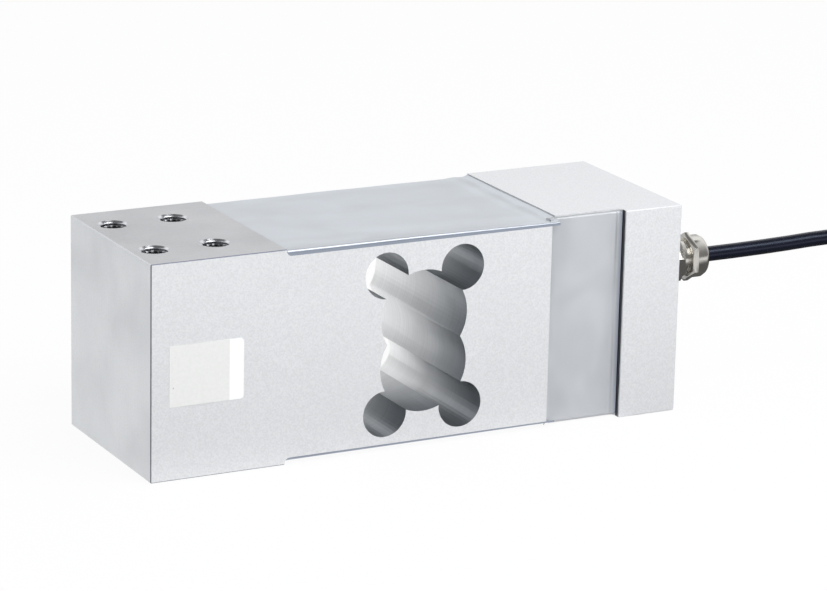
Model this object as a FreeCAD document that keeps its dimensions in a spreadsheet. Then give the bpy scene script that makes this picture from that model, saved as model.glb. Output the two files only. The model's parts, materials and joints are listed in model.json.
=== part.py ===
"""Single point load cell: a one-piece aluminium spring body with a six-bore flexure, its gauges and
wiring under sealing pads, and a cable that leaves through a small metal gland.

Millimetres.  X runs along the body from the load end (-X) to the gland end (+X), Y runs across it with
the labelled face at -Y, and Z is up.  The origin is the middle of the body's underside.
"""
import FreeCAD, Part
import math
import os

import Sketcher
from FreeCAD import Placement, Rotation, Vector

# ------------------------------------------------------------------------------ driving dimensions
SIZES = {
    # spring body
    "block_length": 204.0,
    "block_width": 70.0,
    "block_height": 76.0,
    "edge_break": 0.3,
    # thinned length between the two mounting ends, top and bottom
    "recess_left": 52.5,
    "recess_right": 53.0,
    "recess_depth": 2.4,
    "recess_fillet": 2.0,
    # flexure: two large and four corner bores, all through the width
    "main_bore_diameter": 33.2,
    "main_bore_rise": 8.75,
    "corner_bore_diameter": 16.5,
    "corner_bore_reach": 14.6,
    "corner_bore_rise": 24.7,
    # wiring pocket across the front face, and the deeper cavity for the circuit board
    "pocket_left": 49.5,
    "pocket_right": 79.3,
    "pocket_depth": 4.6,
    "pocket_fillet": 2.0,
    "cavity_left": 54.0,
    "cavity_right": 76.0,
    "cavity_low": 24.0,
    "cavity_high": 64.0,
    "cavity_depth": 20.5,
    "cavity_fillet": 4.0,
    # threaded mounting holes, M10, four on top of the load end and four under the fixed end
    "hole_core_diameter": 8.5,
    "hole_mouth_diameter": 10.8,
    "hole_depth": 22.0,
    "hole_end_distance": 8.5,
    "hole_pitch_along": 22.3,
    "hole_pitch_across": 35.5,
    # sealing pads over the recesses and the pocket
    "pad_thickness": 1.3,
    "side_pad_thickness": 1.4,
    "side_pad_margin": 0.5,
    # strain gauges on the recess floors, and the flexible circuits that join them to the board
    "gauge_length": 10.0,
    "gauge_width": 7.0,
    "gauge_thickness": 0.12,
    "resistor_length": 5.0,
    "resistor_width": 4.0,
    "flex_thickness": 0.2,
    "flex_track": 1.6,
    "flex_beside": 3.8,
    "flex_tab": 1.4,
    "flex_lift": 0.55,
    "flex_ramp": 2.0,
    "flex_corner_start": 50.3,
    "relief_reach": 6.5,
    "relief_depth": 0.9,
    # circuit board in the cavity
    "board_length": 19.0,
    "board_height": 36.0,
    "board_thickness": 1.6,
    "board_standoff": 0.5,
    "board_corner": 1.5,
    "pin_width": 0.64,
    "pin_rise": 2.4,
    "pin_pitch": 2.54,
    "plug_depth": 6.0,
    "socket_length": 5.0,
    "socket_width": 3.2,
    "socket_rise": 2.0,
    "sockets_beside": 6.0,
    "sockets_apart": 28.0,
    "cable_pins_beside": 6.5,
    "cable_pin_low": 45.0,
    "trimmer_length": 3.2,
    "trimmer_height": 1.6,
    "trimmer_thickness": 0.6,
    "trimmer_pitch": 5.0,
    "trimmers_below": 9.0,
    # cable gland, M12, its axis on the end face
    "gland_across": 19.8,
    "gland_height": 52.0,
    "gland_thread_diameter": 12.0,
    "gland_thread_length": 9.5,
    "thread_hole_depth": 10.5,
    "passage_diameter": 8.0,
    "ring_thickness": 1.0,
    "ring_diameter": 15.2,
    "body_flats": 16.0,
    "body_hex_length": 6.0,
    "collar_diameter": 14.2,
    "collar_length": 1.8,
    "neck_length": 6.7,
    "cable_bore_diameter": 6.6,
    "cage_bore_diameter": 9.4,
    "cage_bore_start": 4.5,
    "cage_end": 16.2,
    "cage_wall": 1.1,
    "cage_slot": 0.8,
    "nut_start": 10.3,
    "nut_flats": 15.5,
    "nut_hex_length": 2.4,
    "nut_diameter": 15.4,
    "nut_end": 18.0,
    "nut_thread_end": 15.6,
    "nut_exit_diameter": 6.8,
    "nut_edge": 0.5,
    "nut_nose": 1.8,
    "nut_nose_step": 0.6,
    "nut_cone_diameter": 10.0,
    "nut_cone_length": 1.3,
    "cage_ring_length": 4.0,
    "cage_taper": 0.5,
    "cage_gap": 0.1,
    "seal_inset": 1.0,
    "seal_edge": 0.3,
    "seal_end": 18.8,
    # cable and what is on it
    "cable_diameter": 5.5,
    "jacket_start": -10.0,
    "jacket_end": 18.6,
    "conductor_diameter": 1.1,
    "conductors_up": 1.5,
    "conductors_across": 1.6,
    "conductor_turn": 0.5,
    "conductor_dip": 3.0,
    "coil_across": 5.75,
    "coil_along": 284.0,
    "coil_radius": 30.0,
    "coil_columns": 4.0,
    "coil_layers": 5.0,
    "coil_rounding": 1.6,
    "tie_width": 4.0,
    "tie_thickness": 1.1,
    "tie_slack": 0.1,
    "tie_head_depth": 3.2,
    "tie_head_height": 4.6,
    "tie_head_base": 11.5,
    "tie_head_overhang": 0.8,
    "sleeve_diameter": 6.8,
    "sleeve_length": 14.0,
    "tail_diameter": 1.2,
    "tail_straight": 3.0,
    "tail_gap": 0.03,
    "tip_diameter": 0.7,
    "tip_length": 6.0,
    # label on the front face
    "label_left": 95.3,
    "label_right": 68.1,
    "label_low": 25.8,
    "label_high": 47.1,
    "label_thickness": 0.15,
    "label_corner": 1.3,
}

# angles, in degrees
NUT_TURN = -3.0
BODY_TURN = -12.0
SLEEVE_BEARING = -18.0
TIE_BEARING = 120.0

# the cable's way from the gland to the coil: control points along X, Y, Z
CABLE_ROUTE = (
    (120.6, -19.8, 52.0),
    (149.0, -19.8, 52.0),
    (181.0, -20.2, 53.0),
    (206.0, -22.3, 43.0),
    (226.0, -25.2, 25.0),
    (245.5, -28.8, 12.2),
    (263.0, -31.7, 2.75),
    (282.0, -32.5, 2.75),
)
ARC_SHARE = 0.45
WIRE_SIDES = 8

doc = FreeCAD.newDocument("SinglePointLoadCell")


# --------------------------------------------------------------------------------- sheet and checks
def make_sheet():
    """Put every driving dimension into a spreadsheet, one aliased cell each."""
    sheet = doc.addObject("Spreadsheet::Sheet", "Sizes")
    for row, (alias, value) in enumerate(SIZES.items(), start=1):
        sheet.set("A%d" % row, alias)
        sheet.set("B%d" % row, str(value))
        sheet.setAlias("B%d" % row, alias)
    doc.recompute()
    return sheet


sheet = make_sheet()


def size(alias):
    """A driving dimension as the sheet holds it, in millimetres."""
    return float(sheet.get(alias))


def bind(item, **expressions):
    """Tie properties of an object to the sheet, each by an expression in its aliases."""
    for name, expression in expressions.items():
        item.setExpression(name.replace("__", "."), expression)


def wanted(label, item):
    """Give a finished sub-part its name and put it on the list of files to write."""
    item.Label = label
    sub_parts.append(item)
    return item


sub_parts = []


# ------------------------------------------------------------------------------ sketches and bodies
def new_body(name):
    return doc.addObject("PartDesign::Body", name)


def origin_plane(body, role):
    return next(item for item in body.Origin.OriginFeatures if item.Role == role)


def new_sketch(body, role, name, lift=None):
    """A sketch on one of the body's own origin planes, lifted off it by a sheet expression."""
    sketch = body.newObject("Sketcher::SketchObject", name)
    sketch.AttachmentSupport = [(origin_plane(body, role), "")]
    sketch.MapMode = "FlatFace"
    if lift:
        sketch.setExpression("AttachmentOffset.Base.z", lift)
    return sketch


def hold(sketch, geometry, point, axis, expression):
    """Hold a sketch point at a signed coordinate: an expression that starts with - lies below zero."""
    kind = "Distance" + axis
    if expression.startswith("-"):
        ends = (geometry, point, -1, 1)
        text = expression[1:]
    else:
        ends = (-1, 1, geometry, point)
        text = expression
    index = sketch.addConstraint(Sketcher.Constraint(kind, *ends, 1.0))
    sketch.setExpression("Constraints[%d]" % index, text)


def draft_point(x_text, y_text):
    """A first guess for a held point, on the right side of each axis."""
    return Vector(*[-10.0 if text.startswith("-") else 10.0 for text in (x_text, y_text)], 0)


def draw_outline(sketch, corners):
    """A closed outline of straight lines through corners given as pairs of sheet expressions."""
    drafts = [draft_point(*corner) + Vector(n, n, 0) for n, corner in enumerate(corners)]
    count = len(corners)
    for n in range(count):
        sketch.addGeometry(Part.LineSegment(drafts[n], drafts[(n + 1) % count]), False)
    for n in range(count):
        sketch.addConstraint(Sketcher.Constraint("Coincident", n, 2, (n + 1) % count, 1))
    for n, (x_text, y_text) in enumerate(corners):
        for axis, text in (("X", x_text), ("Y", y_text)):
            if text == "0":
                line = -2 if axis == "X" else -1
                sketch.addConstraint(Sketcher.Constraint("PointOnObject", n, 1, line))
            else:
                hold(sketch, n, 1, axis, text)


def draw_rectangle(sketch, left, right, low, high):
    draw_outline(sketch, [(left, low), (right, low), (right, high), (left, high)])


def draw_circle(sketch, x_text, y_text, diameter):
    """A circle with its centre and diameter held by sheet expressions."""
    centre = draft_point(x_text if x_text != "0" else "1", y_text if y_text != "0" else "1")
    index = sketch.addGeometry(Part.Circle(centre, Vector(0, 0, 1), 5.0), False)
    for axis, text in (("X", x_text), ("Y", y_text)):
        if text == "0":
            line = -2 if axis == "X" else -1
            sketch.addConstraint(Sketcher.Constraint("PointOnObject", index, 3, line))
        else:
            hold(sketch, index, 3, axis, text)
    rule = sketch.addConstraint(Sketcher.Constraint("Diameter", index, 10.0))
    sketch.setExpression("Constraints[%d]" % rule, diameter)


def pad(body, sketch, name, length, **settings):
    """Raise a sketch by a length that is a sheet expression."""
    feature = body.newObject("PartDesign::Pad", name)
    feature.Profile = sketch
    feature.setExpression("Length", length)
    for key, value in settings.items():
        setattr(feature, key, value)
    doc.recompute()
    return feature


def pocket(body, sketch, name, length=None, **settings):
    """Cut a sketch away: right through both ways, or by a length that is a sheet expression."""
    before = body.Shape.Volume
    feature = body.newObject("PartDesign::Pocket", name)
    feature.Profile = sketch
    if length:
        feature.setExpression("Length", length)
    else:
        feature.Type = "ThroughAll"
        feature.Midplane = True
    for key, value in settings.items():
        setattr(feature, key, value)
    doc.recompute()
    if not body.Shape.Volume < before:
        raise RuntimeError("%s cuts nothing" % name)
    return feature


def revolve(body, sketch, name, axis="H_Axis"):
    """Turn a sketch once round one of its own axes."""
    feature = body.newObject("PartDesign::Revolution", name)
    feature.Profile = sketch
    feature.ReferenceAxis = (sketch, [axis])
    feature.Angle = 360.0
    doc.recompute()
    return feature


def repeat_up(body, feature, sketch, name, step):
    """Repeat a feature once, one step up the sketch's vertical axis."""
    pattern = body.newObject("PartDesign::LinearPattern", name)
    pattern.Originals = [feature]
    pattern.Direction = (sketch, ["V_Axis"])
    pattern.Occurrences = 2
    pattern.setExpression("Length", step)
    body.Tip = pattern
    doc.recompute()
    return pattern


def edge_names(shape, chosen):
    """The names of the shape's edges whose two ends and middle all pass a test."""
    names = []
    for number, edge in enumerate(shape.Edges, start=1):
        middle = edge.valueAt((edge.FirstParameter + edge.LastParameter) / 2)
        places = [vertex.Point for vertex in edge.Vertexes] + [middle]
        if all(chosen(place) for place in places):
            names.append("Edge%d" % number)
    return names


def soften(body, kind, name, amount, chosen):
    """Fillet or chamfer the edges of the body's tip that pass a test."""
    base = body.Tip
    feature = body.newObject("PartDesign::" + kind, name)
    names = edge_names(base.Shape, chosen)
    if not names:
        raise RuntimeError("%s finds no edge" % name)
    feature.Base = (base, names)
    feature.setExpression("Radius" if kind == "Fillet" else "Size", amount)
    doc.recompute()
    return feature


def near(value, target, reach=0.02):
    return abs(value - target) < reach


# -------------------------------------------------------------------------------- shapes of Part
def box(name, corner, lengths):
    """A Part box whose corner and lengths are sheet expressions."""
    item = doc.addObject("Part::Box", name)
    for key, text in zip(("Length", "Width", "Height"), lengths):
        item.setExpression(key, text)
    for key, text in zip("xyz", corner):
        item.setExpression("Placement.Base." + key, text)
    return item


def compound(name, items):
    item = doc.addObject("Part::Compound", name)
    item.Links = items
    return item


def cut(name, base, tool):
    item = doc.addObject("Part::Cut", name)
    item.Base = base
    item.Tool = tool
    return item


def rounded_path(points, share, widest=None):
    """A wire of straight runs joined by tangent arcs, with the radii of its arcs.

    Each arc takes a share of the shorter run beside it, or the widest radius where one is given.
    """
    stops = [Vector(*point) for point in points]
    edges = []
    radii = []
    start = stops[0]
    for before, corner, after in zip(stops, stops[1:], stops[2:]):
        arriving = (corner - before).normalize()
        leaving = (after - corner).normalize()
        half_turn = arriving.getAngle(leaving) / 2
        shorter = min((corner - before).Length, (after - corner).Length)
        reach = share * shorter
        if widest:
            reach = min(reach, widest * math.tan(half_turn))
        radii.append(reach / math.tan(half_turn))
        inner = (leaving - arriving).normalize()
        depth = radii[-1] / math.cos(half_turn) - radii[-1]
        arc_start = corner - arriving * reach
        arc_end = corner + leaving * reach
        edges.append(Part.LineSegment(start, arc_start).toShape())
        edges.append(Part.Arc(arc_start, corner + inner * depth, arc_end).toShape())
        start = arc_end
    edges.append(Part.LineSegment(start, stops[-1]).toShape())
    return Part.Wire(edges), radii


def tube_shape(points, diameter, share=ARC_SHARE, widest=None):
    """A round solid along a rounded path, checked against its section times its length."""
    path, radii = rounded_path(points, share, widest)
    first = Vector(*points[0])
    heading = Vector(*points[1]) - first
    ring = Part.Wire([Part.Circle(first, heading, diameter / 2).toShape()])
    solid = path.makePipeShell([ring], True, False)
    expected = math.pi * diameter ** 2 / 4 * path.Length
    if abs(solid.Volume / expected - 1) > 0.01:
        raise RuntimeError("a tube's volume is %.1f, not %.1f" % (solid.Volume, expected))
    return solid, radii, path.Length


def wire_shape(points, diameter):
    """A thin eight-sided wire with mitred bends, through points."""
    stops = [Vector(*point) for point in points]
    path = Part.makePolygon(stops)
    turn = Rotation(Vector(0, 0, 1), stops[1] - stops[0])
    corners = []
    for number in range(WIRE_SIDES + 1):
        angle = 2 * math.pi * (number + 0.5) / WIRE_SIDES
        spoke = Vector(diameter / 2 * math.cos(angle), diameter / 2 * math.sin(angle), 0)
        corners.append(stops[0] + turn.multVec(spoke))
    corners[-1] = corners[0]
    return path.makePipeShell([Part.makePolygon(corners)], True, False, 1)


def feature_of(name, shape):
    item = doc.addObject("Part::Feature", name)
    item.Shape = shape
    return item


# ------------------------------------------------------------------------------------ spring body
HALF_LENGTH = "Sizes.block_length / 2"
HALF_WIDTH = "Sizes.block_width / 2"
MID_HEIGHT = "Sizes.block_height / 2"
CLEAR = "1"


def cut_recesses(body):
    """The thinned length, cut across the whole width on top and underneath, with filleted ends."""
    sketch = new_sketch(body, "XZ_Plane", "RecessSketch")
    draw_rectangle(sketch, "-Sizes.recess_left", "Sizes.recess_right",
                   "Sizes.block_height - Sizes.recess_depth", "Sizes.block_height + " + CLEAR)
    pocket(body, sketch, "TopRecess")
    sketch = new_sketch(body, "XZ_Plane", "UnderRecessSketch")
    draw_rectangle(sketch, "-Sizes.recess_left", "Sizes.recess_right", "-" + CLEAR,
                   "Sizes.recess_depth")
    pocket(body, sketch, "UnderRecess")
    floors = (size("block_height") - size("recess_depth"), size("recess_depth"))
    ends = (-size("recess_left"), size("recess_right"))

    def at_floor_end(place):
        return any(near(place.z, z) for z in floors) and any(near(place.x, x) for x in ends)

    soften(body, "Fillet", "RecessFillets", "Sizes.recess_fillet", at_floor_end)


def cut_flexure(body):
    """Two large bores above each other and four corner bores, which leave four thin webs."""
    sketch = new_sketch(body, "XZ_Plane", "MainBoreSketch")
    draw_circle(sketch, "0", MID_HEIGHT + " - Sizes.main_bore_rise", "Sizes.main_bore_diameter")
    bore = pocket(body, sketch, "MainBore")
    repeat_up(body, bore, sketch, "MainBores", "2 * Sizes.main_bore_rise")
    sketch = new_sketch(body, "XZ_Plane", "CornerBoreSketch")
    for side in ("-Sizes.corner_bore_reach", "Sizes.corner_bore_reach"):
        draw_circle(sketch, side, MID_HEIGHT + " - Sizes.corner_bore_rise",
                    "Sizes.corner_bore_diameter")
    bores = pocket(body, sketch, "CornerBores")
    repeat_up(body, bores, sketch, "AllCornerBores", "2 * Sizes.corner_bore_rise")


def cut_wiring_pocket(body):
    """The shallow pocket down the front face and the deeper cavity for the board behind it."""
    sketch = new_sketch(body, "XZ_Plane", "PocketSketch", HALF_WIDTH)
    draw_rectangle(sketch, "Sizes.pocket_left", "Sizes.pocket_right", "-" + CLEAR,
                   "Sizes.block_height + " + CLEAR)
    pocket(body, sketch, "WiringPocket", "Sizes.pocket_depth")
    floor = -size("block_width") / 2 + size("pocket_depth")
    walls = (size("pocket_left"), size("pocket_right"))

    def at_pocket_corner(place):
        return near(place.y, floor) and any(near(place.x, x) for x in walls)

    soften(body, "Fillet", "PocketFillets", "Sizes.pocket_fillet", at_pocket_corner)
    sketch = new_sketch(body, "XZ_Plane", "CavitySketch", HALF_WIDTH)
    draw_rectangle(sketch, "Sizes.cavity_left", "Sizes.cavity_right", "Sizes.cavity_low",
                   "Sizes.cavity_high")
    pocket(body, sketch, "BoardCavity", "Sizes.cavity_depth")
    soften(body, "Fillet", "CavityFillets", "Sizes.cavity_fillet", at_cavity_corner)


def at_cavity_corner(place):
    """True on the four edges that run into the depth of the board cavity."""
    across = (size("cavity_left"), size("cavity_right"))
    upright = (size("cavity_low"), size("cavity_high"))
    return any(near(place.x, x) for x in across) and any(near(place.z, z) for z in upright)


def cut_gland_hole(body):
    """The gland's thread and, beyond it, the conductors' passage into the board cavity."""
    for name, diameter, depth in (
        ("GlandThread", "Sizes.gland_thread_diameter", "Sizes.thread_hole_depth"),
        ("WirePassage", "Sizes.passage_diameter",
         HALF_LENGTH + " - Sizes.cavity_right + " + CLEAR),
    ):
        sketch = new_sketch(body, "YZ_Plane", name + "Sketch", HALF_LENGTH)
        draw_circle(sketch, "-Sizes.gland_across", "Sizes.gland_height", diameter)
        pocket(body, sketch, name, depth)


def cut_mounting_holes(body, name, side, lift, from_below):
    """Four blind tapped holes with a chamfered mouth, in a rectangle near one end."""
    sketch = new_sketch(body, "XY_Plane", name + "Sketch", lift)
    outer = HALF_LENGTH + " - Sizes.hole_end_distance"
    for along in (outer, outer + " - Sizes.hole_pitch_along"):
        for across in ("Sizes.hole_pitch_across / 2", "-Sizes.hole_pitch_across / 2"):
            place = "-(%s)" % along if side < 0 else along
            draw_circle(sketch, place, across, "Sizes.hole_core_diameter")
    doc.recompute()
    before = body.Shape.Volume
    hole = body.newObject("PartDesign::Hole", name)
    hole.Profile = sketch
    hole.Threaded = False
    hole.DepthType = "Dimension"
    hole.setExpression("Depth", "Sizes.hole_depth")
    hole.setExpression("Diameter", "Sizes.hole_core_diameter")
    hole.HoleCutType = "Countersink"
    hole.HoleCutCustomValues = True
    hole.HoleCutDiameter = size("hole_mouth_diameter")
    hole.HoleCutCountersinkAngle = 90.0
    hole.DrillPoint = "Flat"
    hole.Reversed = from_below
    doc.recompute()
    if not body.Shape.Volume < before:
        raise RuntimeError("%s cuts nothing" % name)


def on_outer_edge(place):
    """True on the block's outer edges, which all get the same small edge break."""
    flush = (
        near(abs(place.x), size("block_length") / 2),
        near(abs(place.y), size("block_width") / 2),
        near(place.z, 0) or near(place.z, size("block_height")),
    )
    return sum(flush) >= 2


def make_spring_body():
    body = new_body("SpringBody")
    sketch = new_sketch(body, "XY_Plane", "BlockSketch")
    draw_rectangle(sketch, "-" + HALF_LENGTH, HALF_LENGTH, "-" + HALF_WIDTH, HALF_WIDTH)
    pad(body, sketch, "Block", "Sizes.block_height")
    cut_recesses(body)
    cut_wiring_pocket(body)
    soften(body, "Chamfer", "EdgeBreaks", "Sizes.edge_break", on_outer_edge)
    cut_flexure(body)
    cut_gland_hole(body)
    cut_mounting_holes(body, "LoadHoles", -1, "Sizes.block_height", False)
    cut_mounting_holes(body, "FixingHoles", 1, "0", True)
    return wanted("spring_body", body)


spring_body = make_spring_body()


# ------------------------------------------------------------- gauges and wires under the top and base
FLOOR_TOP = size("block_height") - size("recess_depth")
FLOOR_UNDER = size("recess_depth")
POCKET_FLOOR = -size("block_width") / 2 + size("pocket_depth")
BOARD_BACK = -size("block_width") / 2 + size("cavity_depth") - size("board_standoff")
BOARD_FRONT = BOARD_BACK - size("board_thickness")
BOARD_MIDDLE = Vector((size("cavity_left") + size("cavity_right")) / 2, 0,
                      (size("cavity_low") + size("cavity_high")) / 2)
PIN_TIP = BOARD_FRONT - size("pin_rise")
CABLE_PIN_ALONG = BOARD_MIDDLE.x + size("cable_pins_beside")
CABLE_PINS = 6
TRIMMERS = 4
SOCKET_ALONG = BOARD_MIDDLE.x - size("sockets_beside")
SOCKET_REACH = size("sockets_apart") / 2

on_top = {"name": "top", "floor": FLOOR_TOP, "away": 1, "base": "Sizes.block_height - Sizes.recess_depth"}
underneath = {"name": "bottom", "floor": FLOOR_UNDER, "away": -1, "base": "Sizes.recess_depth"}


def foil(name, middle_along, lengths, side):
    """A thin rectangular piece glued to a recess floor, centred across the body."""
    along, across, thickness = lengths
    low = side["base"] if side["away"] > 0 else "%s - %s" % (side["base"], thickness)
    corner = ("%s - %s / 2" % (middle_along, along), "-%s / 2" % across, low)
    return box(name, corner, lengths)


def make_gauges(side):
    """Two strain gauges, one over each thin web."""
    lengths = ("Sizes.gauge_length", "Sizes.gauge_width", "Sizes.gauge_thickness")
    gauges = []
    for name, along in (("left", "-Sizes.corner_bore_reach"), ("right", "Sizes.corner_bore_reach")):
        label = "strain_gauge_%s_%s" % (side["name"], name)
        gauges.append(wanted(label, foil("Gauge" + label, along, lengths, side)))
    return gauges


def make_temperature_resistor():
    lengths = ("Sizes.resistor_length", "Sizes.resistor_width", "Sizes.gauge_thickness")
    return wanted("temperature_resistor", foil("TemperatureFoil", "0", lengths, on_top))


def strap_shape(low, high):
    """A flat stretch of flexible circuit between two opposite corners."""
    corner = Vector(*[min(pair) for pair in zip(low, high)])
    lengths = [abs(first - second) for first, second in zip(low, high)]
    return Part.makeBox(*lengths, corner)


def make_gauge_flex(side):
    """The flexible circuit from both gauges, over the body's corner, down to its socket on the board.

    It lies along the recess floor beside the right gauge, with a tab to each gauge's solder end, bends
    over the edge into the wiring pocket, crosses to the cavity and dips to its socket.
    """
    away = side["away"]
    thick = size("flex_thickness")
    track = size("flex_track")
    tab = size("flex_tab")
    beside = size("flex_beside")
    tab_ends = [sign * size("corner_bore_reach") + size("gauge_length") / 2 for sign in (-1, 1)]
    floor = side["floor"]
    lifted = floor + away * size("flex_lift")
    start = size("flex_corner_start")
    foot = start - size("flex_ramp")
    over = POCKET_FLOOR - size("flex_lift")
    crossing = BOARD_MIDDLE.z + away * SOCKET_REACH
    half_tab = size("gauge_width") / 4
    pieces = [
        strap_shape((tab_ends[0], beside, floor), (foot, beside + track, floor + away * thick)),
        strap_shape((foot, beside, floor), (foot + thick, beside + track, lifted)),
        strap_shape((foot, beside, lifted), (start + track, beside + track, lifted + away * thick)),
        strap_shape((start, over - thick, lifted), (start + track, beside, lifted + away * thick)),
        strap_shape((start, over - thick, crossing - away * track / 2),
                    (start + track, over, lifted + away * thick)),
        strap_shape((start, over - thick, crossing - away * track / 2),
                    (SOCKET_ALONG + track / 2, over, crossing + away * track / 2)),
        strap_shape((SOCKET_ALONG - track / 2, over, crossing - thick / 2),
                    (SOCKET_ALONG + track / 2, BOARD_FRONT - size("socket_rise"), crossing + thick / 2)),
    ]
    for end in tab_ends:
        pieces.append(strap_shape((end, -half_tab, floor), (end + tab, beside, floor + away * thick)))
    shape = pieces[0].multiFuse(pieces[1:]).removeSplitter()
    return wanted("gauge_flex_" + side["name"], feature_of("Flex" + side["name"], shape))


# ------------------------------------------------------------------------- board in the cavity
def make_board():
    """The summing board: a plate with cut corners."""
    body = new_body("Board")
    sketch = new_sketch(body, "XZ_Plane", "BoardSketch")
    draw_rectangle(sketch, "-Sizes.board_length / 2", "Sizes.board_length / 2",
                   "-Sizes.board_height / 2", "Sizes.board_height / 2")
    pad(body, sketch, "BoardPlate", "Sizes.board_thickness")
    half = (size("board_length") / 2, size("board_height") / 2)

    def at_corner(place):
        return near(abs(place.x), half[0]) and near(abs(place.z), half[1])

    soften(body, "Chamfer", "BoardCorners", "Sizes.board_corner", at_corner)
    body.Placement = Placement(BOARD_MIDDLE + Vector(0, BOARD_BACK, 0), Rotation())
    return body


def make_pins():
    """Six square pins through the board, one for each conductor of the cable."""
    half = size("pin_width") / 2
    pins = []
    for number in range(CABLE_PINS):
        corner = Vector(CABLE_PIN_ALONG - half, PIN_TIP, cable_pin_height(number) - half)
        pins.append(placed_box("Pin%d" % number, ("Sizes.pin_width", "Sizes.board_thickness + Sizes.pin_rise",
                                                  "Sizes.pin_width"), corner))
    return wanted("board_pins", compound("Pins", pins))


def placed_box(name, lengths, corner):
    """A Part box bound to the sheet in its lengths and set on a corner."""
    item = doc.addObject("Part::Box", name)
    for key, text in zip(("Length", "Width", "Height"), lengths):
        item.setExpression(key, text)
    item.Placement = Placement(corner, Rotation())
    return item


def make_sockets():
    """Two low sockets on the board, one for each flexible circuit."""
    sockets = []
    for side in (on_top, underneath):
        middle = Vector(SOCKET_ALONG, BOARD_FRONT, BOARD_MIDDLE.z + side["away"] * SOCKET_REACH)
        half = Vector(size("socket_length") / 2, size("socket_rise"), size("socket_width") / 2)
        sockets.append(placed_box("Socket" + side["name"],
                                  ("Sizes.socket_length", "Sizes.socket_rise", "Sizes.socket_width"),
                                  middle - half))
    return wanted("flex_sockets", compound("Sockets", sockets))


def cable_pin_height(number):
    return size("cable_pin_low") + number * size("pin_pitch")


def make_trimmers():
    """Four chip resistors that balance the bridge, in a column on the board."""
    chips = []
    for number in range(TRIMMERS):
        up = number * size("trimmer_pitch") - size("trimmers_below")
        corner = Vector(BOARD_MIDDLE.x - size("trimmer_length") / 2,
                        BOARD_FRONT - size("trimmer_thickness"), BOARD_MIDDLE.z + up)
        chips.append(placed_box(
            "Chip%d" % number,
            ("Sizes.trimmer_length", "Sizes.trimmer_thickness", "Sizes.trimmer_height"), corner))
    return wanted("trim_resistors", compound("Trimmers", chips))


def make_entry_conductors():
    """Six conductors from the end of the jacket, through the passage, to the board's pins."""
    axis = Vector(0, -size("gland_across"), size("gland_height"))
    start = size("block_length") / 2 + size("jacket_start")
    solids = []
    for number in range(CABLE_PINS):
        row, place = divmod(number, 2)
        across = size("conductors_across") * (0.5 - place)
        beside = axis + Vector(0, across, size("conductors_up") * (row - 1))
        pin = cable_pin_height(number)
        solids.append(wire_shape([
            (start, beside.y, beside.z),
            (size("cavity_right") - size("conductor_turn"), beside.y, beside.z),
            (CABLE_PIN_ALONG, -size("gland_across") - size("conductor_dip"), pin),
            (CABLE_PIN_ALONG, PIN_TIP, pin),
        ], size("conductor_diameter")))
    return wanted("entry_conductors", feature_of("EntryConductors", Part.makeCompound(solids)))


# -------------------------------------------------------------------------------- sealing pads
def make_recess_pad(side, flex):
    """Soft sealing over one recess: it follows the filleted ends, with room underneath for the gauges."""
    low = side["base"] if side["away"] > 0 else side["base"] + " - Sizes.pad_thickness"
    block = box("PadBlock" + side["name"], ("-Sizes.recess_left", "-" + HALF_WIDTH, low),
                ("Sizes.recess_left + Sizes.recess_right", "Sizes.block_width", "Sizes.pad_thickness"))
    corner = box("PadCorner" + side["name"],
                 ("Sizes.pocket_left", "-" + HALF_WIDTH + " - " + CLEAR, low + " - " + CLEAR),
                 ("Sizes.pocket_right - Sizes.pocket_left", "Sizes.pocket_depth + " + CLEAR,
                  "Sizes.pad_thickness + 2 * " + CLEAR))
    relief_low = side["base"] if side["away"] > 0 else side["base"] + " - Sizes.relief_depth"
    relief = box("PadRelief" + side["name"],
                 ("-Sizes.corner_bore_reach - Sizes.relief_reach", "-Sizes.relief_reach", relief_low),
                 ("Sizes.corner_bore_reach + Sizes.relief_reach + Sizes.flex_corner_start",
                  "2 * Sizes.relief_reach", "Sizes.relief_depth"))
    tools = compound("PadTools" + side["name"], [spring_body, corner, relief, flex])
    return wanted(side["name"] + "_sealing_pad", cut("Pad" + side["name"], block, tools))


def make_side_pad(flexes):
    """The sealing down the wiring pocket, as wide as the pocket and nearly as tall as the body."""
    low = "-" + HALF_WIDTH + " + Sizes.pocket_depth - Sizes.side_pad_thickness"
    block = box("SidePadBlock", ("Sizes.pocket_left", low, "Sizes.side_pad_margin"),
                ("Sizes.pocket_right - Sizes.pocket_left", "Sizes.side_pad_thickness",
                 "Sizes.block_height - 2 * Sizes.side_pad_margin"))
    tools = compound("SidePadTools", [spring_body] + flexes)
    return wanted("side_sealing_pad", cut("SidePad", block, tools))


def make_plug(flexes):
    """The potting plug that closes the mouth of the board cavity."""
    block = box("PlugBlock", ("Sizes.cavity_left", "-" + HALF_WIDTH + " + Sizes.pocket_depth",
                              "Sizes.cavity_low"),
                ("Sizes.cavity_right - Sizes.cavity_left", "Sizes.plug_depth",
                 "Sizes.cavity_high - Sizes.cavity_low"))
    tools = compound("PlugTools", [spring_body] + flexes)
    return wanted("cavity_potting", cut("Plug", block, tools))


# -------------------------------------------------------------------------------- cable gland
def place_on_gland_axis(item, turn=0.0):
    """Set a turned piece on the gland's axis, its zero at the body's end face."""
    item.Placement = Placement(Vector(0, 0, 0), Rotation(Vector(1, 0, 0), turn))
    bind(item, Placement__Base__x=HALF_LENGTH, Placement__Base__y="-Sizes.gland_across",
         Placement__Base__z="Sizes.gland_height")


def turned_body(name, outline):
    """A body of revolution about X from an outline of (X, radius) sheet expressions."""
    body = new_body(name)
    sketch = new_sketch(body, "XY_Plane", name + "Outline")
    draw_outline(sketch, outline)
    revolve(body, sketch, name + "Turned")
    return body


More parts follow.
